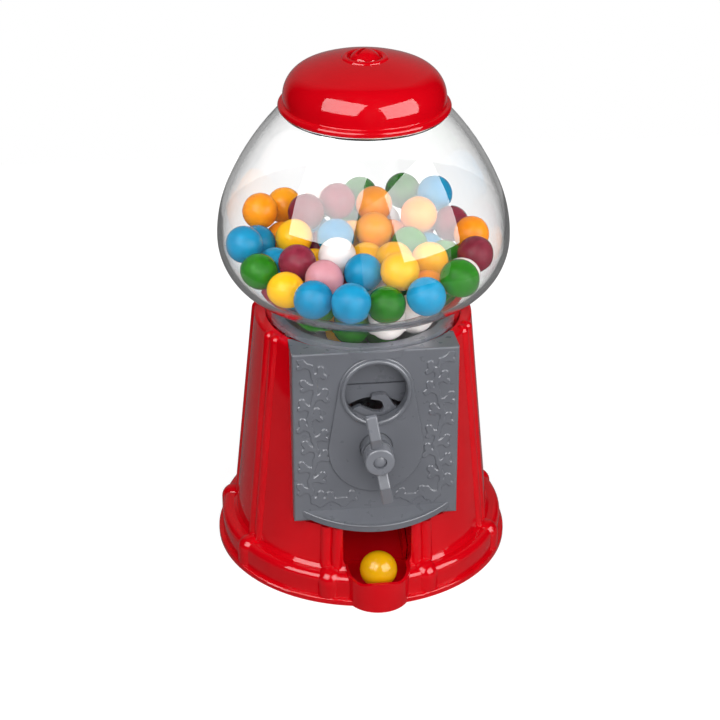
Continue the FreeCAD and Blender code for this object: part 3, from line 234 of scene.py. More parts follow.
lid_shell = turned("lid_shell", [
    arc(dome_centre, lid_dome - LID_WALL, 90, dome_edge),
    arc(side_centre, LID_SIDE_RADIUS - LID_WALL, dome_edge, step_edge)[1:],
    (LID_STEP, NECK_TOP),
    (LID_BORE, NECK_TOP),
    (LID_BORE, LID_BOTTOM),
    arc((LID_RIM_RADIUS - LID_BEAD, LID_BOTTOM + LID_BEAD), LID_BEAD, -90, 90),
    hollow_arc((LID_RADIUS + LID_FILLET, bead_top), (LID_RADIUS, bead_top + LID_FILLET), LID_FILLET),
    arc(side_centre, LID_SIDE_RADIUS, 0, dome_edge),
    arc(dome_centre, lid_dome, dome_edge, ring_foot)[1:],
    arc((RING_RADIUS, BUTTON_SEAT), RING_BEAD, RING_START, 180),
    (0, BUTTON_SEAT),
], "lid", "red_plastic", replaced=["lid_cap"])

# %% [markdown]
# ## The slotted button
# A small dome sits in the ring, split by a slot for a screwdriver. A box could be cut out of a
# dome, but the cut would leave knife edges. So the height is a formula of the place on the
# disc: a ball's cap, less a trench with soft edges.

# %% Button
BUTTON_RADIUS, BUTTON_RISE, BUTTON_FOOT = 5.8, 3.55, 0.2
SLOT_WIDTH, SLOT_DEPTH, SLOT_TURN, SLOT_OFFSET, SLOT_SOFT = 1.2, 1.5, 46.0, 0.85, 0.2
BUTTON_RINGS, BUTTON_COLUMNS, BUTTON_CREASE = 60, 144, 60.0
cap_radius = (BUTTON_RADIUS ** 2 + BUTTON_RISE ** 2) / (2 * BUTTON_RISE)


def smooth_step(low, high, x):
    """0 below low, 1 above high, and a smooth cubic between them."""
    share = np.clip((x - low) / (high - low), 0, 1)
    return share * share * (3 - 2 * share)


def button_height(x, y):
    """The cap's height over its seat, less the slot's trench."""
    dome = np.sqrt(cap_radius ** 2 - x ** 2 - y ** 2) - cap_radius + BUTTON_RISE
    turn = math.radians(SLOT_TURN)
    across = np.abs(y * math.cos(turn) - x * math.sin(turn) - SLOT_OFFSET)
    trench = 1 - smooth_step(SLOT_WIDTH / 2, SLOT_WIDTH / 2 + SLOT_SOFT, across)
    floor = np.minimum(dome, BUTTON_RISE - SLOT_DEPTH)
    return dome + (floor - dome) * trench


away = np.linspace(0, BUTTON_RADIUS, BUTTON_RINGS + 1)[:0:-1, None]
angle = np.linspace(0, 2 * math.pi, BUTTON_COLUMNS, endpoint=False)
across, along = away * np.cos(angle), away * np.sin(angle)
dome_points = np.stack((across, along, BUTTON_SEAT + button_height(across, along)), -1)
foot_height = BUTTON_SEAT - BUTTON_FOOT
foot_points = np.stack((across[0], along[0], np.full(BUTTON_COLUMNS, foot_height)), -1)
poles = np.array(((0, 0, foot_height), (0, 0, BUTTON_SEAT + button_height(0, 0))))
points = np.concatenate((foot_points, dome_points.reshape(-1, 3), poles)) * MM
last = len(points) - 2
lid_knob = new_piece("lid_knob", points, [
    grid_quads(BUTTON_RINGS + 1, BUTTON_COLUMNS, wrap_columns=True),
    pole_fan(last, 0, BUTTON_COLUMNS, upward=False),
    pole_fan(last + 1, last - BUTTON_COLUMNS, BUTTON_COLUMNS, upward=True),
], "lid", "red_plastic", replaced=["lid_button"], crease=BUTTON_CREASE)

# %% [markdown]
# ## Gumballs
# Candy is tumbled in a drum, so no ball is quite round: each has soft flats. Plain spheres
# would look like beads, and a noise modifier on every ball would be slow. Here all balls of a
# colour are one array, and a few broad waves dent each one. The frame knows where every ball
# lies. A ball's surface normal points away from its middle, so each point less its normal times
# the radius gives the middle back.

# %% Gumballs
BALL_RADIUS = 7.25
BALL_ROWS, BALL_COLUMNS = 30, 52
BALL_WAVES, BALL_PITCH, BALL_DENT = 5, 1.6, 0.014
CANDY_SEED = 7
candy_rng = np.random.default_rng(CANDY_SEED)
latitude = np.linspace(-90, 90, BALL_ROWS + 2)[1:-1]
longitude = np.linspace(0, 360, BALL_COLUMNS, endpoint=False)
tilt, swing = (np.radians(grid) for grid in np.meshgrid(latitude, longitude, indexing="ij"))
ball_rings = np.stack((np.cos(tilt) * np.cos(swing), np.cos(tilt) * np.sin(swing), np.sin(tilt)), -1)
ball_poles = np.array(((0, 0, -1), (0, 0, 1)))
ball_directions = np.concatenate((ball_rings.reshape(-1, 3), ball_poles))
ball_last = BALL_ROWS * BALL_COLUMNS
ball_faces = [
    grid_quads(BALL_ROWS, BALL_COLUMNS, wrap_columns=True),
    pole_fan(ball_last, 0, BALL_COLUMNS, upward=False),
    pole_fan(ball_last + 1, ball_last - BALL_COLUMNS, BALL_COLUMNS, upward=True),
]


def ball_middles(node):
    """The middles of a node's balls: the mean of point less normal times radius, ball by ball."""
    mesh = nodes[node].data
    spots, normals = np.zeros((2, len(mesh.vertices) * 3), np.float32)
    mesh.vertices.foreach_get("co", spots)
    mesh.vertices.foreach_get("normal", normals)
    middles = (spots - normals * BALL_RADIUS * MM).reshape(-1, 3)
    jumps = np.linalg.norm(np.diff(middles, axis=0), axis=1) > BALL_RADIUS * MM
    return np.array([part.mean(0) for part in np.split(middles, np.flatnonzero(jumps) + 1)])


def candy(name, node, slot):
    """Balls whose radius dips by a few broad waves along random directions of each ball."""
    middles = ball_middles(node)
    count = len(middles)
    spin = np.linalg.qr(candy_rng.normal(size=(count, 3, 3)))[0]
    spin *= np.sign(np.linalg.det(spin))[:, None, None]
    waves = candy_rng.normal(size=(count, BALL_WAVES, 3)) * BALL_PITCH
    phases = candy_rng.uniform(0, 2 * math.pi, (count, BALL_WAVES, 1))
    dips = np.sin(waves @ ball_directions.T + phases).mean(1)
    radius = BALL_RADIUS * MM * (1 - BALL_DENT * (1 + dips))
    turned_directions = ball_directions @ spin
    points = middles[:, None, :] + radius[:, :, None] * turned_directions
    starts = np.arange(count)[:, None, None] * len(ball_directions)
    faces = [(group[None] + starts).reshape(-1, group.shape[1]) for group in ball_faces]
    piece = new_piece(
        name, points.reshape(-1, 3), faces, "machine", slot, replaced=[node], crease=NO_CREASE,
    )
    tone = np.repeat(candy_rng.uniform(0, 1, count), len(ball_directions))
    piece.data.attributes.new("tone", "FLOAT", "POINT").data.foreach_set("value", tone)
    return piece


CANDY_COLOURS = ("yellow", "orange", "blue", "green", "white", "purple", "pink")
candies = [
    candy(f"candy_{colour}", f"gumballs_{colour}", f"candy_{colour}") for colour in CANDY_COLOURS
]
candies.append(candy("candy_in_tray", "gumball_in_tray", "candy_yellow"))

# %% [markdown]
# ## Moulded ornament on the coin plate
# Both sides of the plate carry low leafy scrollwork, cut into the mould so that it stands a
# little proud of the face. A sculptor would draw the leaves as outlines; here they are strokes,
# bent lines with a half width that tapers. The distance to the nearest stroke, smoothed where
# two strokes meet as a fillet would, says how far a point lies inside a leaf. The height is a
# plateau with a steep edge, so only the outlines catch the light, as on the real plate.

# %% Places and strokes on the plate
PLATE_FOOT_Y, PLATE_FOOT_Z, PLATE_TILT = -43.25, 31.0, math.radians(4.1)
STROKE_STEPS = np.linspace(0, 1, 22)
STROKE_BLEND, STROKE_FAR = 0.22, 60


def plate_points(across, up, out):
    """Places on the leaning plate, in metres: along it from its foot, and out of its face."""
    y = PLATE_FOOT_Y + up * math.sin(PLATE_TILT) - out * math.cos(PLATE_TILT)
    z = PLATE_FOOT_Z + up * math.cos(PLATE_TILT) + out * math.sin(PLATE_TILT)
    return np.stack(np.broadcast_arrays(across, y, z), -1) * MM


def stroke_distance(across, up, stroke):
    """Distance outside one stroke, less its half width, which runs evenly from end to end.

    Its line is (1-t)^2 start + 2t(1-t) middle + t^2 end, for t from 0 to 1.
    """
    start, middle, end, first_half, last_half = stroke
    t = STROKE_STEPS[:, None]
    start, middle, end = np.array(start), np.array(middle), np.array(end)
    line = (1 - t) ** 2 * start + 2 * t * (1 - t) * middle + t ** 2 * end
    half = first_half + (last_half - first_half) * STROKE_STEPS
    away = np.hypot(across[..., None] - line[:, 0], up[..., None] - line[:, 1]) - half
    return away.min(-1)


def strokes_distance(across, up, strokes):
    """The smooth least of the strokes' distances: -b log(sum(exp(-d / b))) for a blend b."""
    total = np.zeros(across.shape)
    for stroke in strokes:
        away = stroke_distance(across, up, stroke) / STROKE_BLEND
        total += np.exp(-np.clip(away, -STROKE_FAR, STROKE_FAR))
    return -STROKE_BLEND * np.log(total)


# %% Leaves of the scrollwork
LEAF_HALF, LEAF_TIP, STEM_HALF = 1.0, 1.35, 0.8
LOBE_BEND, LOBE_END, SIDE_CURL, SIDE_LENGTH = 0.6, 0.45, 0.9, 0.34
STEM_AWAY, STEM_SWAY, STEM_WAVE = 23.8, 1.3, 27.0
STRIP_LOW, STRIP_HIGH, LEAF_STEP = 8.5, 64.5, 4.3
LEAF_HEADINGS, LEAF_STRAY, LEAF_CURLS, LEAF_LENGTHS = (168, 12), 9, (40, 75), (4.6, 5.6)
BRANCH_UP, BRANCH_NEAR, BRANCH_STEP, BRANCH_ARCH = 8.2, 8.0, 4.4, 0.9
TWIG_HEADINGS, TWIG_STRAY, TWIG_CURLS, TWIG_LENGTHS = (-150, 135), 10, (-60, -30), (2.8, 3.6)
LEAF_SEED = 12
leaf_rng = np.random.default_rng(LEAF_SEED)


def leaf(root, degrees, length, curl):
    """A leaf of two lobes: a long one that curls at its end, and a short one half way along it."""
    middle = polar(root, LOBE_BEND * length, degrees)
    tip = polar(middle, LOBE_END * length, degrees + curl)
    side = polar(middle, SIDE_LENGTH * length, degrees - SIDE_CURL * curl)
    return [(root, middle, tip, LEAF_HALF, LEAF_TIP), (middle, middle, side, LEAF_HALF, LEAF_HALF)]


def stem_away(up):
    """The stem swings from side to side as it climbs."""
    return STEM_AWAY + STEM_SWAY * math.sin(2 * math.pi * (up - STRIP_LOW) / STEM_WAVE)


def scrollwork():
    """Strokes of one side: a climbing stem and a branch under the panel, with leaves at each."""
    strokes = []
    for index, up in enumerate(np.arange(STRIP_LOW, STRIP_HIGH, LEAF_STEP)):
        root, ahead = (stem_away(up), up), min(up + LEAF_STEP, STRIP_HIGH)
        half_way = (up + ahead) / 2
        bend, top = (stem_away(half_way), half_way), (stem_away(ahead), ahead)
        strokes.append((root, bend, top, STEM_HALF, STEM_HALF))
        heading = LEAF_HEADINGS[index % 2] + leaf_rng.uniform(-LEAF_STRAY, LEAF_STRAY)
        curl = (1 if index % 2 else -1) * leaf_rng.uniform(*LEAF_CURLS)
        strokes += leaf(root, heading, leaf_rng.uniform(*LEAF_LENGTHS), curl)
    for index, away in enumerate(np.arange(STEM_AWAY, BRANCH_NEAR, -BRANCH_STEP)):
        root, after = (away, BRANCH_UP), (max(away - BRANCH_STEP, BRANCH_NEAR), BRANCH_UP)
        arch = ((root[0] + after[0]) / 2, BRANCH_UP + BRANCH_ARCH)
        strokes.append((root, arch, after, STEM_HALF, STEM_HALF))
        heading = TWIG_HEADINGS[index % 2] + leaf_rng.uniform(-TWIG_STRAY, TWIG_STRAY)
        strokes += leaf(root, heading, leaf_rng.uniform(*TWIG_LENGTHS), leaf_rng.uniform(*TWIG_CURLS))
    return strokes


# %% Raised leaves
RELIEF_HEIGHT, RELIEF_EDGE, RELIEF_SUNK, RELIEF_BACK = 0.5, 0.24, 0.06, 0.5
RELIEF_ROWS, RELIEF_COLUMNS = 480, 180
RELIEF_UP, RELIEF_OUTER = (4.8, 67.6), 30.3
RELIEF_INNER_LOW, RELIEF_INNER_HIGH, RELIEF_INNER_UP = 5.0, 12.6, (14.0, 36.0)


def relief(name, side):
    """A closed slab over one side of the plate: its face is the leaves' heights, its back is flat.

    Rows climb the plate, and columns run from its outer edge to an inner edge that draws back
    from the panel's foot to the window.
    """
    up, share = np.meshgrid(
        np.linspace(*RELIEF_UP, RELIEF_ROWS), np.linspace(0, 1, RELIEF_COLUMNS), indexing="ij",
    )
    inner_rise = smooth_step(*RELIEF_INNER_UP, up)
    inner = RELIEF_INNER_LOW + (RELIEF_INNER_HIGH - RELIEF_INNER_LOW) * inner_rise
    away = RELIEF_OUTER + share * (inner - RELIEF_OUTER)
    inside = 1 - smooth_step(-RELIEF_EDGE, RELIEF_EDGE, strokes_distance(away, up, scrollwork()))
    front = plate_points(side * away, up, RELIEF_HEIGHT * inside - RELIEF_SUNK).reshape(-1, 3)
    index = np.arange(up.size).reshape(up.shape)
    edge = np.concatenate((index[:, 0], index[-1, 1:], index[-2::-1, -1], index[0, -2:0:-1]))
    back = plate_points(side * away.flat[edge], up.flat[edge], -RELIEF_BACK)
    sunk = up.size + np.arange(len(edge))
    rim = np.stack((edge, np.roll(edge, -1), np.roll(sunk, -1), sunk), -1)
    faces = [grid_quads(*up.shape), rim, sunk[None, :]]
    if side > 0:
        faces = [group[:, ::-1] for group in faces]
    points = np.concatenate((front, back))
    return new_piece(name, points, faces, "machine", "grey_plastic", crease=NO_CREASE)


relief_pieces = [relief("leaves_left", -1), relief("leaves_right", 1)]

# %% [markdown]
# ## Rounded edges
# The visor over the tray ends in a thin raised bead, and the panel round the window and handle
# has a rounded edge. A bevel could round the plate itself, but the frame's pieces stay as they
# are. So both are round bars carried along a path, as a ball cutter would leave them in the
# mould. They are thin, but they draw the bright lines that a satin plate has.

# %% Round bars
BAR_COLUMNS = 20


def round_bar(name, path, outward, radius, closed=False):
    """A bar about a path: each point plus its radius times (cos a outward + sin a over).

    Over is the path's direction crossed with outward. An open bar ends in a point at each end.
    """
    ahead, behind = np.roll(path, -1, axis=0), np.roll(path, 1, axis=0)
    if not closed:
        ahead[-1], behind[0] = path[-1], path[0]
    forward = (ahead - behind) / np.linalg.norm(ahead - behind, axis=1, keepdims=True)
    angle = np.linspace(0, 2 * math.pi, BAR_COLUMNS, endpoint=False)[:, None]
    spokes = np.cos(angle) * outward[:, None] + np.sin(angle) * np.cross(forward, outward)[:, None]
    rings = path[:, None] + np.reshape(radius, (-1, 1, 1)) * spokes
    rows = len(path) if closed else len(path) - 2
    points = (rings if closed else rings[1:-1]).reshape(-1, 3)
    faces = [grid_quads(rows, BAR_COLUMNS, wrap_rows=closed, wrap_columns=True)]
    if not closed:
        last = len(points)
        points = np.concatenate((points, path[[0, -1]]))
        faces.append(pole_fan(last, 0, BAR_COLUMNS, upward=False))
        faces.append(pole_fan(last + 1, last - BAR_COLUMNS, BAR_COLUMNS, upward=True))
    return new_piece(name, points, faces, "machine", "grey_plastic", crease=NO_CREASE)


# %% Visor bead
VISOR_RADIUS, VISOR_ROOT, VISOR_SLOPE = 51.4, 35.0, math.radians(23.5)
BEAD_RADIUS, BEAD_INSET, BEAD_HALF_SPAN, BEAD_ROWS = 0.6, 0.5, 29.0, 160
bead_reach = VISOR_RADIUS - BEAD_INSET
along = np.linspace(-1, 1, BEAD_ROWS)
turn = along * math.asin(BEAD_HALF_SPAN / bead_reach)
outward = np.stack((np.sin(turn), -np.cos(turn), np.zeros(BEAD_ROWS)), -1)
path = outward * bead_reach
path[:, 2] = VISOR_ROOT + (path[:, 1] - PLATE_FOOT_Y) * math.tan(VISOR_SLOPE)
bead_taper = np.sqrt(1 - along ** 4)
visor_bead = round_bar("visor_bead", path * MM, outward, BEAD_RADIUS * MM * bead_taper)

# %% Edge of the panel
PANEL_LOW_UP, PANEL_LOW_RADIUS = 29.58, 17.6
PANEL_HIGH_UP, PANEL_HIGH_RADIUS = 52.8, 13.8
PANEL_RAISE, PANEL_ROUND = 0.8, 0.5
panel_narrowing = (PANEL_LOW_RADIUS - PANEL_HIGH_RADIUS) / (PANEL_HIGH_UP - PANEL_LOW_UP)
lean = math.degrees(math.asin(panel_narrowing))
outline = np.concatenate((
    arc((0, PANEL_HIGH_UP), PANEL_HIGH_RADIUS, lean, 180 - lean),
    arc((0, PANEL_LOW_UP), PANEL_LOW_RADIUS, 180 - lean, 360 + lean),
))
facing = np.concatenate((arc((0, 0), 1, lean, 180 - lean), arc((0, 0), 1, 180 - lean, 360 + lean)))
path = plate_points(*outline.T, PANEL_RAISE - PANEL_ROUND)
outward = (plate_points(*facing.T, 0) - plate_points(0, 0, 0)) / MM
panel_edge = round_bar("panel_edge", path, outward, PANEL_ROUND * MM, closed=True)

# %% [markdown]
# ## Moulded plastics
# The base, lid and tray are glossy red, the plate a satin silver grey, and the works inside are white
# and black. The handle gets a paler grey than the plate, which is painted light: it stands in for the
# brighter light its arms catch. A painted picture of the surface would stretch over the shapes, and a
# plain colour looks dead. A moulding is never perfectly even: its colour drifts a little, its gloss
# varies, and its skin has a fine orange peel over long shallow waves, which bend the reflections. All
# of that is noise on object coordinates, in metres.

# %% Finish helpers
SHEEN = 0.3
PLASTIC_IOR = 1.5
DRIFT_LUMPS, GLOSS_LUMPS, GLOSS_DETAIL = 45, 260, 4
WAVE_LUMPS, WAVE_HEIGHT = 70, 0.0006
PEEL_LUMPS, PEEL_DETAIL, PEEL_HEIGHT = 2600, 1, 0.00002


def shader_node(tree, kind, sockets=(), **settings):
    """Add a node; sockets gives each input a plain value or another node's output."""
    node = tree.nodes.new(kind)
    for name, setting in settings.items():
        setattr(node, name, setting)
    for name, given in dict(sockets).items():
        if isinstance(given, bpy.types.NodeSocket):
            tree.links.new(given, node.inputs[name])
        else:
            node.inputs[name].default_value = given
    return node


def new_finish(name, **sockets):
    """A material with a Principled shader, its object coordinates and its plain values."""
    finish = bpy.data.materials.new(name)
    finish.use_nodes = True
    tree = finish.node_tree
    shader = tree.nodes["Principled BSDF"]
    shader.inputs["Specular IOR Level"].default_value = SHEEN
    for socket, given in sockets.items():
        shader.inputs[socket.replace("_", " ")].default_value = given
    places = tree.nodes.new("ShaderNodeTexCoord").outputs["Object"]
    return finish, tree, shader, places


def noise(tree, places, scale, detail=2.0):
    """Soft noise with about scale lumps to the metre."""
    sockets = {"Vector": places, "Scale": scale, "Detail": detail}
    return shader_node(tree, "ShaderNodeTexNoise", sockets).outputs["Fac"]


def spread(tree, source, low, high, first=0.3, last=0.7):
    """A value that runs from low to high as its source runs from first to last."""
    sockets = {"Value": source, "From Min": first, "From Max": last, "To Min": low, "To Max": high}
    return shader_node(tree, "ShaderNodeMapRange", sockets).outputs["Result"]


def math_node(tree, operation, first, second):
    """One sum, product or comparison of two values."""
    node = shader_node(tree, "ShaderNodeMath", {0: first, 1: second}, operation=operation)
    return node.outputs["Value"]


def between(tree, share, first, second):
    """A colour that runs from the first to the second as share goes from 0 to 1."""
    mix = shader_node(tree, "ShaderNodeMix", {"Factor": share}, data_type="RGBA")
    ends = [socket for socket in mix.inputs if socket.type == "RGBA"]
    for end, colour in zip(ends, (first, second)):
        if isinstance(colour, bpy.types.NodeSocket):
            tree.links.new(colour, end)
        else:
            end.default_value = (*colour, 1)
    return next(socket for socket in mix.outputs if socket.type == "RGBA")


def bumps(tree, layers):
    """Stacked bump nodes: each layer is a noise, its height in metres and its strength."""
    normal = None
    for source, height, strength in layers:
        sockets = {"Height": source, "Distance": height, "Strength": strength}
        if normal is not None:
            sockets["Normal"] = normal
        normal = shader_node(tree, "ShaderNodeBump", sockets).outputs["Normal"]
    return normal


def moulded(name, deep, pale, roughness, sheen, wave, peel):
    """A moulded plastic: drifting colour, uneven gloss, long waves and a fine peel."""
    finish, tree, shader, places = new_finish(name, IOR=PLASTIC_IOR, Specular_IOR_Level=sheen)
    drift = spread(tree, noise(tree, places, DRIFT_LUMPS), 0, 1)
    gloss = spread(tree, noise(tree, places, GLOSS_LUMPS, GLOSS_DETAIL), *roughness)
    layers = [
        (noise(tree, places, WAVE_LUMPS), WAVE_HEIGHT, wave),
        (noise(tree, places, PEEL_LUMPS, PEEL_DETAIL), PEEL_HEIGHT, peel),
    ]
    tree.links.new(between(tree, drift, deep, pale), shader.inputs["Base Color"])
    tree.links.new(gloss, shader.inputs["Roughness"])
    tree.links.new(bumps(tree, layers), shader.inputs["Normal"])
    return finish


# %% Moulded finishes
MOULDED_FINISHES = {
    "red_plastic": {
        "deep": (0.73, 0.001, 0.007), "pale": (0.80, 0.002, 0.009),
        "roughness": (0.04, 0.10), "sheen": SHEEN, "wave": 0.06, "peel": 0.05,
    },
    "grey_plastic": {
        "deep": (0.150, 0.157, 0.180), "pale": (0.178, 0.186, 0.211),
        "roughness": (0.26, 0.36), "sheen": 0.5, "wave": 0.08, "peel": 0.2,
    },
    # Painted light: the handle's paler grey stands in for the brighter light its arms catch.
    "handle_grey_painted_light": {
        "deep": (0.215, 0.223, 0.252), "pale": (0.248, 0.257, 0.290),
        "roughness": (0.26, 0.36), "sheen": 0.5, "wave": 0.08, "peel": 0.2,
    },
    "white_plastic": {
        "deep": (0.70, 0.69, 0.66), "pale": (0.78, 0.77, 0.74),
        "roughness": (0.42, 0.55), "sheen": SHEEN, "wave": 0.1, "peel": 0.2,
    },
    "black_plastic": {
        "deep": (0.018, 0.018, 0.02), "pale": (0.03, 0.03, 0.032),
        "roughness": (0.45, 0.6), "sheen": SHEEN, "wave": 0.1, "peel": 0.4,
    },
}
finishes = {slot: moulded(slot, **facts) for slot, facts in MOULDED_FINISHES.items()}
print("moulded finishes:", list(finishes))

# %% [markdown]
# ## Steel and clear plastic
# Screws, shaft and clip are plain bright steel with fine turning marks. The globe bends light
# like any clear plastic. A thin see-through skin would be quicker, but its rim would not darken.
# Lamps would have to find their way through two curved walls to reach the candy, so for shadow
# rays the wall lets nearly all the light straight through.

# %% Steel and clear finishes
STEEL_SHADES, STEEL_ROUGHNESS = ((0.50, 0.50, 0.51), (0.64, 0.64, 0.65)), (0.22, 0.38)
STREAK_LUMPS, STREAK_DETAIL, STREAK_SQUEEZE = 900, 3, (1, 12, 1)
CLEAR_TINT, OPEN_TINT = (0.996, 0.997, 0.998, 1), (0.91, 0.915, 0.92, 1)
CLEAR_LUMPS, CLEAR_ROUGHNESS = 35, (0.0, 0.03)
RIPPLE_LUMPS, RIPPLE_HEIGHT, RIPPLE_STRENGTH = 55, 0.0005, 0.05


def bright_steel():
    """Steel with streaks along one direction, made by noise squeezed across it."""
    finish, tree, shader, places = new_finish("steel", Metallic=1.0)
    squeeze = {"Vector": places, "Scale": STREAK_SQUEEZE}
    squeezed = shader_node(tree, "ShaderNodeMapping", squeeze).outputs["Vector"]
    streaks = noise(tree, squeezed, STREAK_LUMPS, STREAK_DETAIL)
    colour = between(tree, spread(tree, streaks, 0, 1), *STEEL_SHADES)
    tree.links.new(colour, shader.inputs["Base Color"])
    tree.links.new(spread(tree, streaks, *STEEL_ROUGHNESS), shader.inputs["Roughness"])
    return finish


def clear_plastic():
    """Clear plastic with faint waves, open to lamps by Light Path's shadow rays."""
    finish, tree, shader, places = new_finish(
        "clear_plastic", Base_Color=CLEAR_TINT, Transmission_Weight=1.0, IOR=PLASTIC_IOR,
    )
    haze = spread(tree, noise(tree, places, CLEAR_LUMPS), *CLEAR_ROUGHNESS)
    ripples = [(noise(tree, places, RIPPLE_LUMPS), RIPPLE_HEIGHT, RIPPLE_STRENGTH)]
    tree.links.new(haze, shader.inputs["Roughness"])
    tree.links.new(bumps(tree, ripples), shader.inputs["Normal"])
    open_wall = shader_node(tree, "ShaderNodeBsdfTransparent", {"Color": OPEN_TINT})
    path = tree.nodes.new("ShaderNodeLightPath")
    wall = shader_node(tree, "ShaderNodeMixShader", {
        0: path.outputs["Is Shadow Ray"], 1: shader.outputs["BSDF"], 2: open_wall.outputs["BSDF"],
    })
    tree.links.new(wall.outputs["Shader"], tree.nodes["Material Output"].inputs["Surface"])
    return finish


finishes["steel"] = bright_steel()
finishes["clear_plastic"] = clear_plastic()
print("finishes:", list(finishes))

# %% [markdown]
# ## Candy shells
# A gumball is a matt sugar shell under a thin glaze. Its colour is a little uneven, darker
# specks show in it, and every ball of a colour differs slightly from the next. A material for
# every ball would do it, but one for each colour is enough: each point carries its ball's own
# tone as an attribute.

# %% Candy finishes
CANDY_SHADES = {
    "yellow": ((0.87, 0.41, 0.001), (0.96, 0.50, 0.003)),
    "orange": ((0.86, 0.25, 0.001), (0.96, 0.36, 0.002)),
    "blue": ((0.0003, 0.19, 0.37), (0.0008, 0.29, 0.52)),
    "green": ((0.008, 0.135, 0.001), (0.018, 0.20, 0.002)),
    "white": ((0.76, 0.70, 0.67), (0.85, 0.80, 0.78)),
    "purple": ((0.15, 0.010, 0.022), (0.26, 0.018, 0.045)),
    "pink": ((0.56, 0.23, 0.265), (0.63, 0.285, 0.33)),
}
CANDY_IOR, CANDY_DEPTH, CANDY_SCATTER = 1.45, 0.05, (0.0012, 0.0008, 0.0006)
CANDY_ROUGHNESS, GLAZE_LUMPS = (0.12, 0.20), 500
CLOUD_LUMPS, CLOUD_TONE, FINE_DETAIL = 220, 0.25, 3
SPECK_LUMPS, SPECK_DETAIL, SPECK_SHARE, SPECK_SHADE = 1100, 2, 0.35, 0.55
SPECK_START, SPECK_FULL = 0.66, 0.74
DIMPLE_LUMPS, DIMPLE_HEIGHT = 320, 0.0004
GRAIN_LUMPS, GRAIN_DETAIL, GRAIN_HEIGHT = 2200, 2, 0.00005
CANDY_BUMP = 0.10


def candy_finish(colour):
    """A glazed sugar shell: tone by ball, cloudy colour, specks and a soft uneven gloss."""
    deep, pale = CANDY_SHADES[colour]
    finish, tree, shader, places = new_finish(
        f"candy_{colour}", IOR=CANDY_IOR,
        Subsurface_Weight=CANDY_DEPTH, Subsurface_Radius=CANDY_SCATTER,
    )
    tone = shader_node(tree, "ShaderNodeAttribute", attribute_name="tone").outputs["Fac"]
    cloud = spread(tree, noise(tree, places, CLOUD_LUMPS, FINE_DETAIL), -CLOUD_TONE, CLOUD_TONE)
    shell = between(tree, math_node(tree, "ADD", tone, cloud), deep, pale)
    speck_noise = noise(tree, places, SPECK_LUMPS, SPECK_DETAIL)
    specks = spread(tree, speck_noise, 0.0, SPECK_SHARE, SPECK_START, SPECK_FULL)
    speckled = between(tree, specks, shell, [SPECK_SHADE * part for part in deep])
    glaze = spread(tree, noise(tree, places, GLAZE_LUMPS, FINE_DETAIL), *CANDY_ROUGHNESS)
    layers = [
        (noise(tree, places, DIMPLE_LUMPS), DIMPLE_HEIGHT, CANDY_BUMP),
        (noise(tree, places, GRAIN_LUMPS, GRAIN_DETAIL), GRAIN_HEIGHT, CANDY_BUMP),
    ]
    tree.links.new(speckled, shader.inputs["Base Color"])
    tree.links.new(glaze, shader.inputs["Roughness"])
    tree.links.new(bumps(tree, layers), shader.inputs["Normal"])
    return finish


for colour in CANDY_COLOURS:
    finishes[f"candy_{colour}"] = candy_finish(colour)
print("candy finishes:", len(CANDY_COLOURS))

# %% [markdown]
# ## Finishes on the pieces
# The record says which slot each node takes its finish from, and a new piece carries its own slot.
# The handle is moulded apart from the plate. It and its screw get a paler grey of their own, which is
# painted light: it stands in for the brighter light that the handle's arms catch.

# %% Give every piece its finish
HANDLE_NODES = ("turn_handle", "handle_screw")
for subpart in frame["record"]["subparts"]:
    nodes[subpart["node"]].material_slots[0].material = finishes[subpart["material_slot"]]
# Painted light: the handle and its screw take the paler grey that stands in for the light on the
# arms.
for name in HANDLE_NODES:
    nodes[name].material_slots[0].material = finishes["handle_grey_painted_light"]
for piece in (globe_shell, lid_shell, lid_knob, visor_bead, panel_edge, *relief_pieces, *candies):
    piece.data.materials.append(finishes[piece["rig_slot"]])
print("finished", len(nodes), "nodes")

# %% [markdown]
# ## Studio
# The machine stands on a white table in a white studio. A real studio would need lamps, a
# sweep and dark flags all round. Here Light Path tells the kinds of ray apart. The camera sees
# plain white. Reflections see a dim sweep behind. Rays straight through clear walls see a white
# room with a dark flag to each side, which draws the globe's dark edges. Scattered rays get a
# low, even fill, so the white throws little light of its own. Two big soft boxes light the
# machine from the front, and two smaller panes show only as highlights on glossy shells.

# %% Table and world
TABLE_LOW, TABLE_HIGH = (-0.24, -0.26), (0.30, 0.40)
TABLE_COLOUR, TABLE_GLOW, TABLE_EDGE_GLOW, TABLE_GLOSS = 0.2, 0.90, 1.0, 0.05
TABLE_NEAR, TABLE_FAR, TABLE_ROUGHNESS = 0.07, 0.2, 0.7
ROOM_DARK, ROOM_FRONT, ROOM_LIGHT = 0.05, 0.15, 0.22
SWEEP_START, SWEEP_END, SWEEP_HALF, SWEEP_FADE, SWEEP_GLOSS = 0.30, 0.50, 0.45, 0.70, 0.25
FRONT_START, FRONT_END = -0.2, -0.5
FLAG_START, FLAG_END, FLAG_SOFT = math.radians(50), math.radians(74), math.radians(5)
WHITE = (1, 1, 1, 1)
HALF_BOUNCE = 0.5


def straight_through(tree, path):
    """1 for rays that have passed clear walls and met nothing that scatters or mirrors them."""
    bounces = math_node(tree, "ADD", path["Diffuse Depth"], path["Glossy Depth"])
    straight = math_node(tree, "LESS_THAN", bounces, HALF_BOUNCE)
    return math_node(tree, "MULTIPLY", path["Is Transmission Ray"], straight)


def seen_rays(tree, gloss):
    """1 for the camera's rays and those straight through clear walls, gloss for reflected ones."""
    path = tree.nodes.new("ShaderNodeLightPath").outputs
    reflected = math_node(tree, "MULTIPLY", path["Is Glossy Ray"], gloss)
    straight = math_node(tree, "MAXIMUM", path["Is Camera Ray"], straight_through(tree, path))
    return math_node(tree, "MAXIMUM", straight, reflected)


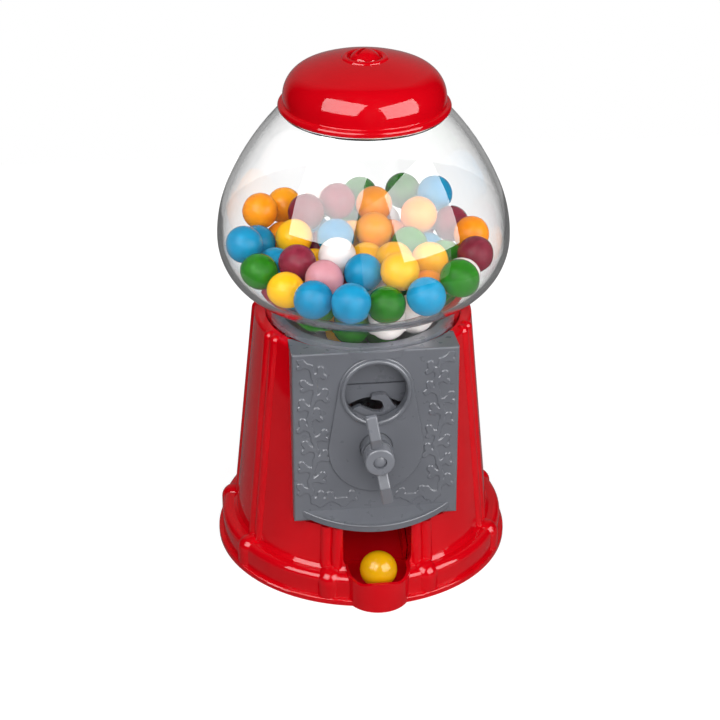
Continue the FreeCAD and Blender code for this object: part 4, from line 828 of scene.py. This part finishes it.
def white_table():
    """A flat sheet that is white where it is seen, less the shadow that falls on it.

    Its glow rises from near the machine to the sheet's edges, which melt into the sweep.
    """
    (left, front), (right, back) = TABLE_LOW, TABLE_HIGH
    mesh = bpy.data.meshes.new("table")
    corners = [(left, front, 0), (right, front, 0), (right, back, 0), (left, back, 0)]
    mesh.from_pydata(corners, [], [(0, 1, 2, 3)])
    table = bpy.data.objects.new("table", mesh)
    bpy.context.scene.collection.objects.link(table)
    grey = (TABLE_COLOUR, TABLE_COLOUR, TABLE_COLOUR, 1)
    finish, tree, shader, places = new_finish("table", Base_Color=grey, Roughness=TABLE_ROUGHNESS)
    shader.inputs["Emission Color"].default_value = WHITE
    away = shader_node(tree, "ShaderNodeVectorMath", {0: places}, operation="LENGTH")
    glow = spread(tree, away.outputs["Value"], TABLE_GLOW, TABLE_EDGE_GLOW, TABLE_NEAR, TABLE_FAR)
    shown = math_node(tree, "MULTIPLY", glow, seen_rays(tree, TABLE_GLOSS))
    tree.links.new(shown, shader.inputs["Emission Strength"])
    mesh.materials.append(finish)


def studio_world():
    """White to the camera, and another room to each other kind of ray.

    Reflections show a sweep behind, that ends at both sides. Rays through clear walls show a
    bright room, dimmer at the front, with a dark flag to each side. The rest is an even fill.
    """
    world = bpy.data.worlds.new("studio")
    bpy.context.scene.world = world
    world.use_nodes = True
    tree = world.node_tree
    path = tree.nodes.new("ShaderNodeLightPath").outputs
    direction = tree.nodes.new("ShaderNodeTexCoord").outputs["Generated"]
    axes = shader_node(tree, "ShaderNodeSeparateXYZ", {"Vector": direction}).outputs
    aside = math_node(tree, "ABSOLUTE", axes["X"], 0.0)
    behind = spread(tree, axes["Y"], 0.0, SWEEP_GLOSS, SWEEP_START, SWEEP_END)
    narrow = spread(tree, aside, 1.0, 0.0, SWEEP_HALF, SWEEP_FADE)
    sweep = math_node(tree, "MULTIPLY", behind, narrow)
    turn = math_node(tree, "ARCTAN2", aside, axes["Y"])
    near_side = spread(tree, turn, 1.0, ROOM_DARK, FLAG_START, FLAG_START + FLAG_SOFT)
    far_side = spread(tree, turn, ROOM_DARK, 1.0, FLAG_END, FLAG_END + FLAG_SOFT)
    flags = math_node(tree, "MAXIMUM", near_side, far_side)
    front = spread(tree, axes["Y"], ROOM_FRONT, 1.0, FRONT_END, FRONT_START)
    room = math_node(tree, "MULTIPLY", flags, front)
    through = straight_through(tree, path)
    bent = math_node(tree, "SUBTRACT", path["Is Transmission Ray"], through)
    scattered = math_node(tree, "ADD", path["Is Diffuse Ray"], bent)
    level = path["Is Camera Ray"]
    for rays, seen in ((path["Is Glossy Ray"], sweep), (through, room), (scattered, ROOM_LIGHT)):
        level = math_node(tree, "ADD", level, math_node(tree, "MULTIPLY", rays, seen))
    tree.links.new(level, tree.nodes["Background"].inputs["Strength"])
    tree.nodes["Background"].inputs["Color"].default_value = WHITE


white_table()
studio_world()
print("table and world")

# %% Soft boxes
SOFT_BOXES = {
    "soft_box_left": {"turn": -22, "lift": 50, "power": 5.9},
    "soft_box_right": {"turn": 27, "lift": 10, "power": 5.7},
    "left_pane": {"turn": -43, "lift": 38, "power": 16.5, "pane": True},
    "right_pane": {"turn": 46, "lift": 24, "power": 16.5, "pane": True},
}
BOX_SIZE, BOX_DISTANCE = (1.3, 1.1), 0.90
PANE_SIZE, PANE_DISTANCE = (0.80, 0.66), 0.85
BOX_TARGET = Vector((0, 0, 0.13))


def soft_box(name, turn, lift, power, pane=False):
    """A rectangular lamp that faces the machine, from an angle round from the front and up.

    A pane is seen only in reflections, and a plain box only lights what it shines on.
    """
    lamp = bpy.data.lights.new(name, "AREA")
    lamp.shape = "RECTANGLE"
    lamp.size, lamp.size_y = PANE_SIZE if pane else BOX_SIZE
    lamp.energy = power
    turn, lift = math.radians(turn), math.radians(lift)
    level = math.cos(lift)
    away = Vector((math.sin(turn) * level, -math.cos(turn) * level, math.sin(lift)))
    box = bpy.data.objects.new(name, lamp)
    box.location = BOX_TARGET + away * (PANE_DISTANCE if pane else BOX_DISTANCE)
    box.rotation_euler = away.to_track_quat("Z", "Y").to_euler()
    box.visible_camera = False
    box.visible_transmission = not pane
    box.visible_diffuse = not pane
    box.visible_glossy = pane
    bpy.context.scene.collection.objects.link(box)


for name, facts in SOFT_BOXES.items():
    soft_box(name, **facts)
print("soft boxes:", list(SOFT_BOXES))

# %% [markdown]
# ## Camera
# The picture is taken from a little left of the front and well above, with a long lens, so the
# rims read as shallow ellipses. A camera could be aimed by eye, but this one stands where a fit
# to the machine's own circles puts it.

# %% Camera and colour
CAMERA_PLACE = (-0.0847, -0.6414, 0.4260)
CAMERA_TURN, CAMERA_DROP, CAMERA_ROLL = -7.44, 28.42, 0.44
CAMERA_LENS, CAMERA_SENSOR = 94.0, 36.0
camera_data = bpy.data.cameras.new("camera")
camera_data.lens = CAMERA_LENS
camera_data.sensor_width = CAMERA_SENSOR
camera = bpy.data.objects.new("camera", camera_data)
looking = (
    Matrix.Rotation(math.radians(CAMERA_TURN), 4, "Z")
    @ Matrix.Rotation(math.radians(90 - CAMERA_DROP), 4, "X")
    @ Matrix.Rotation(math.radians(CAMERA_ROLL), 4, "Z")
)
camera.matrix_world = Matrix.Translation(CAMERA_PLACE) @ looking
bpy.context.scene.collection.objects.link(camera)
bpy.context.scene.camera = camera
bpy.context.scene.view_settings.view_transform = "Standard"
print("camera at", CAMERA_PLACE)
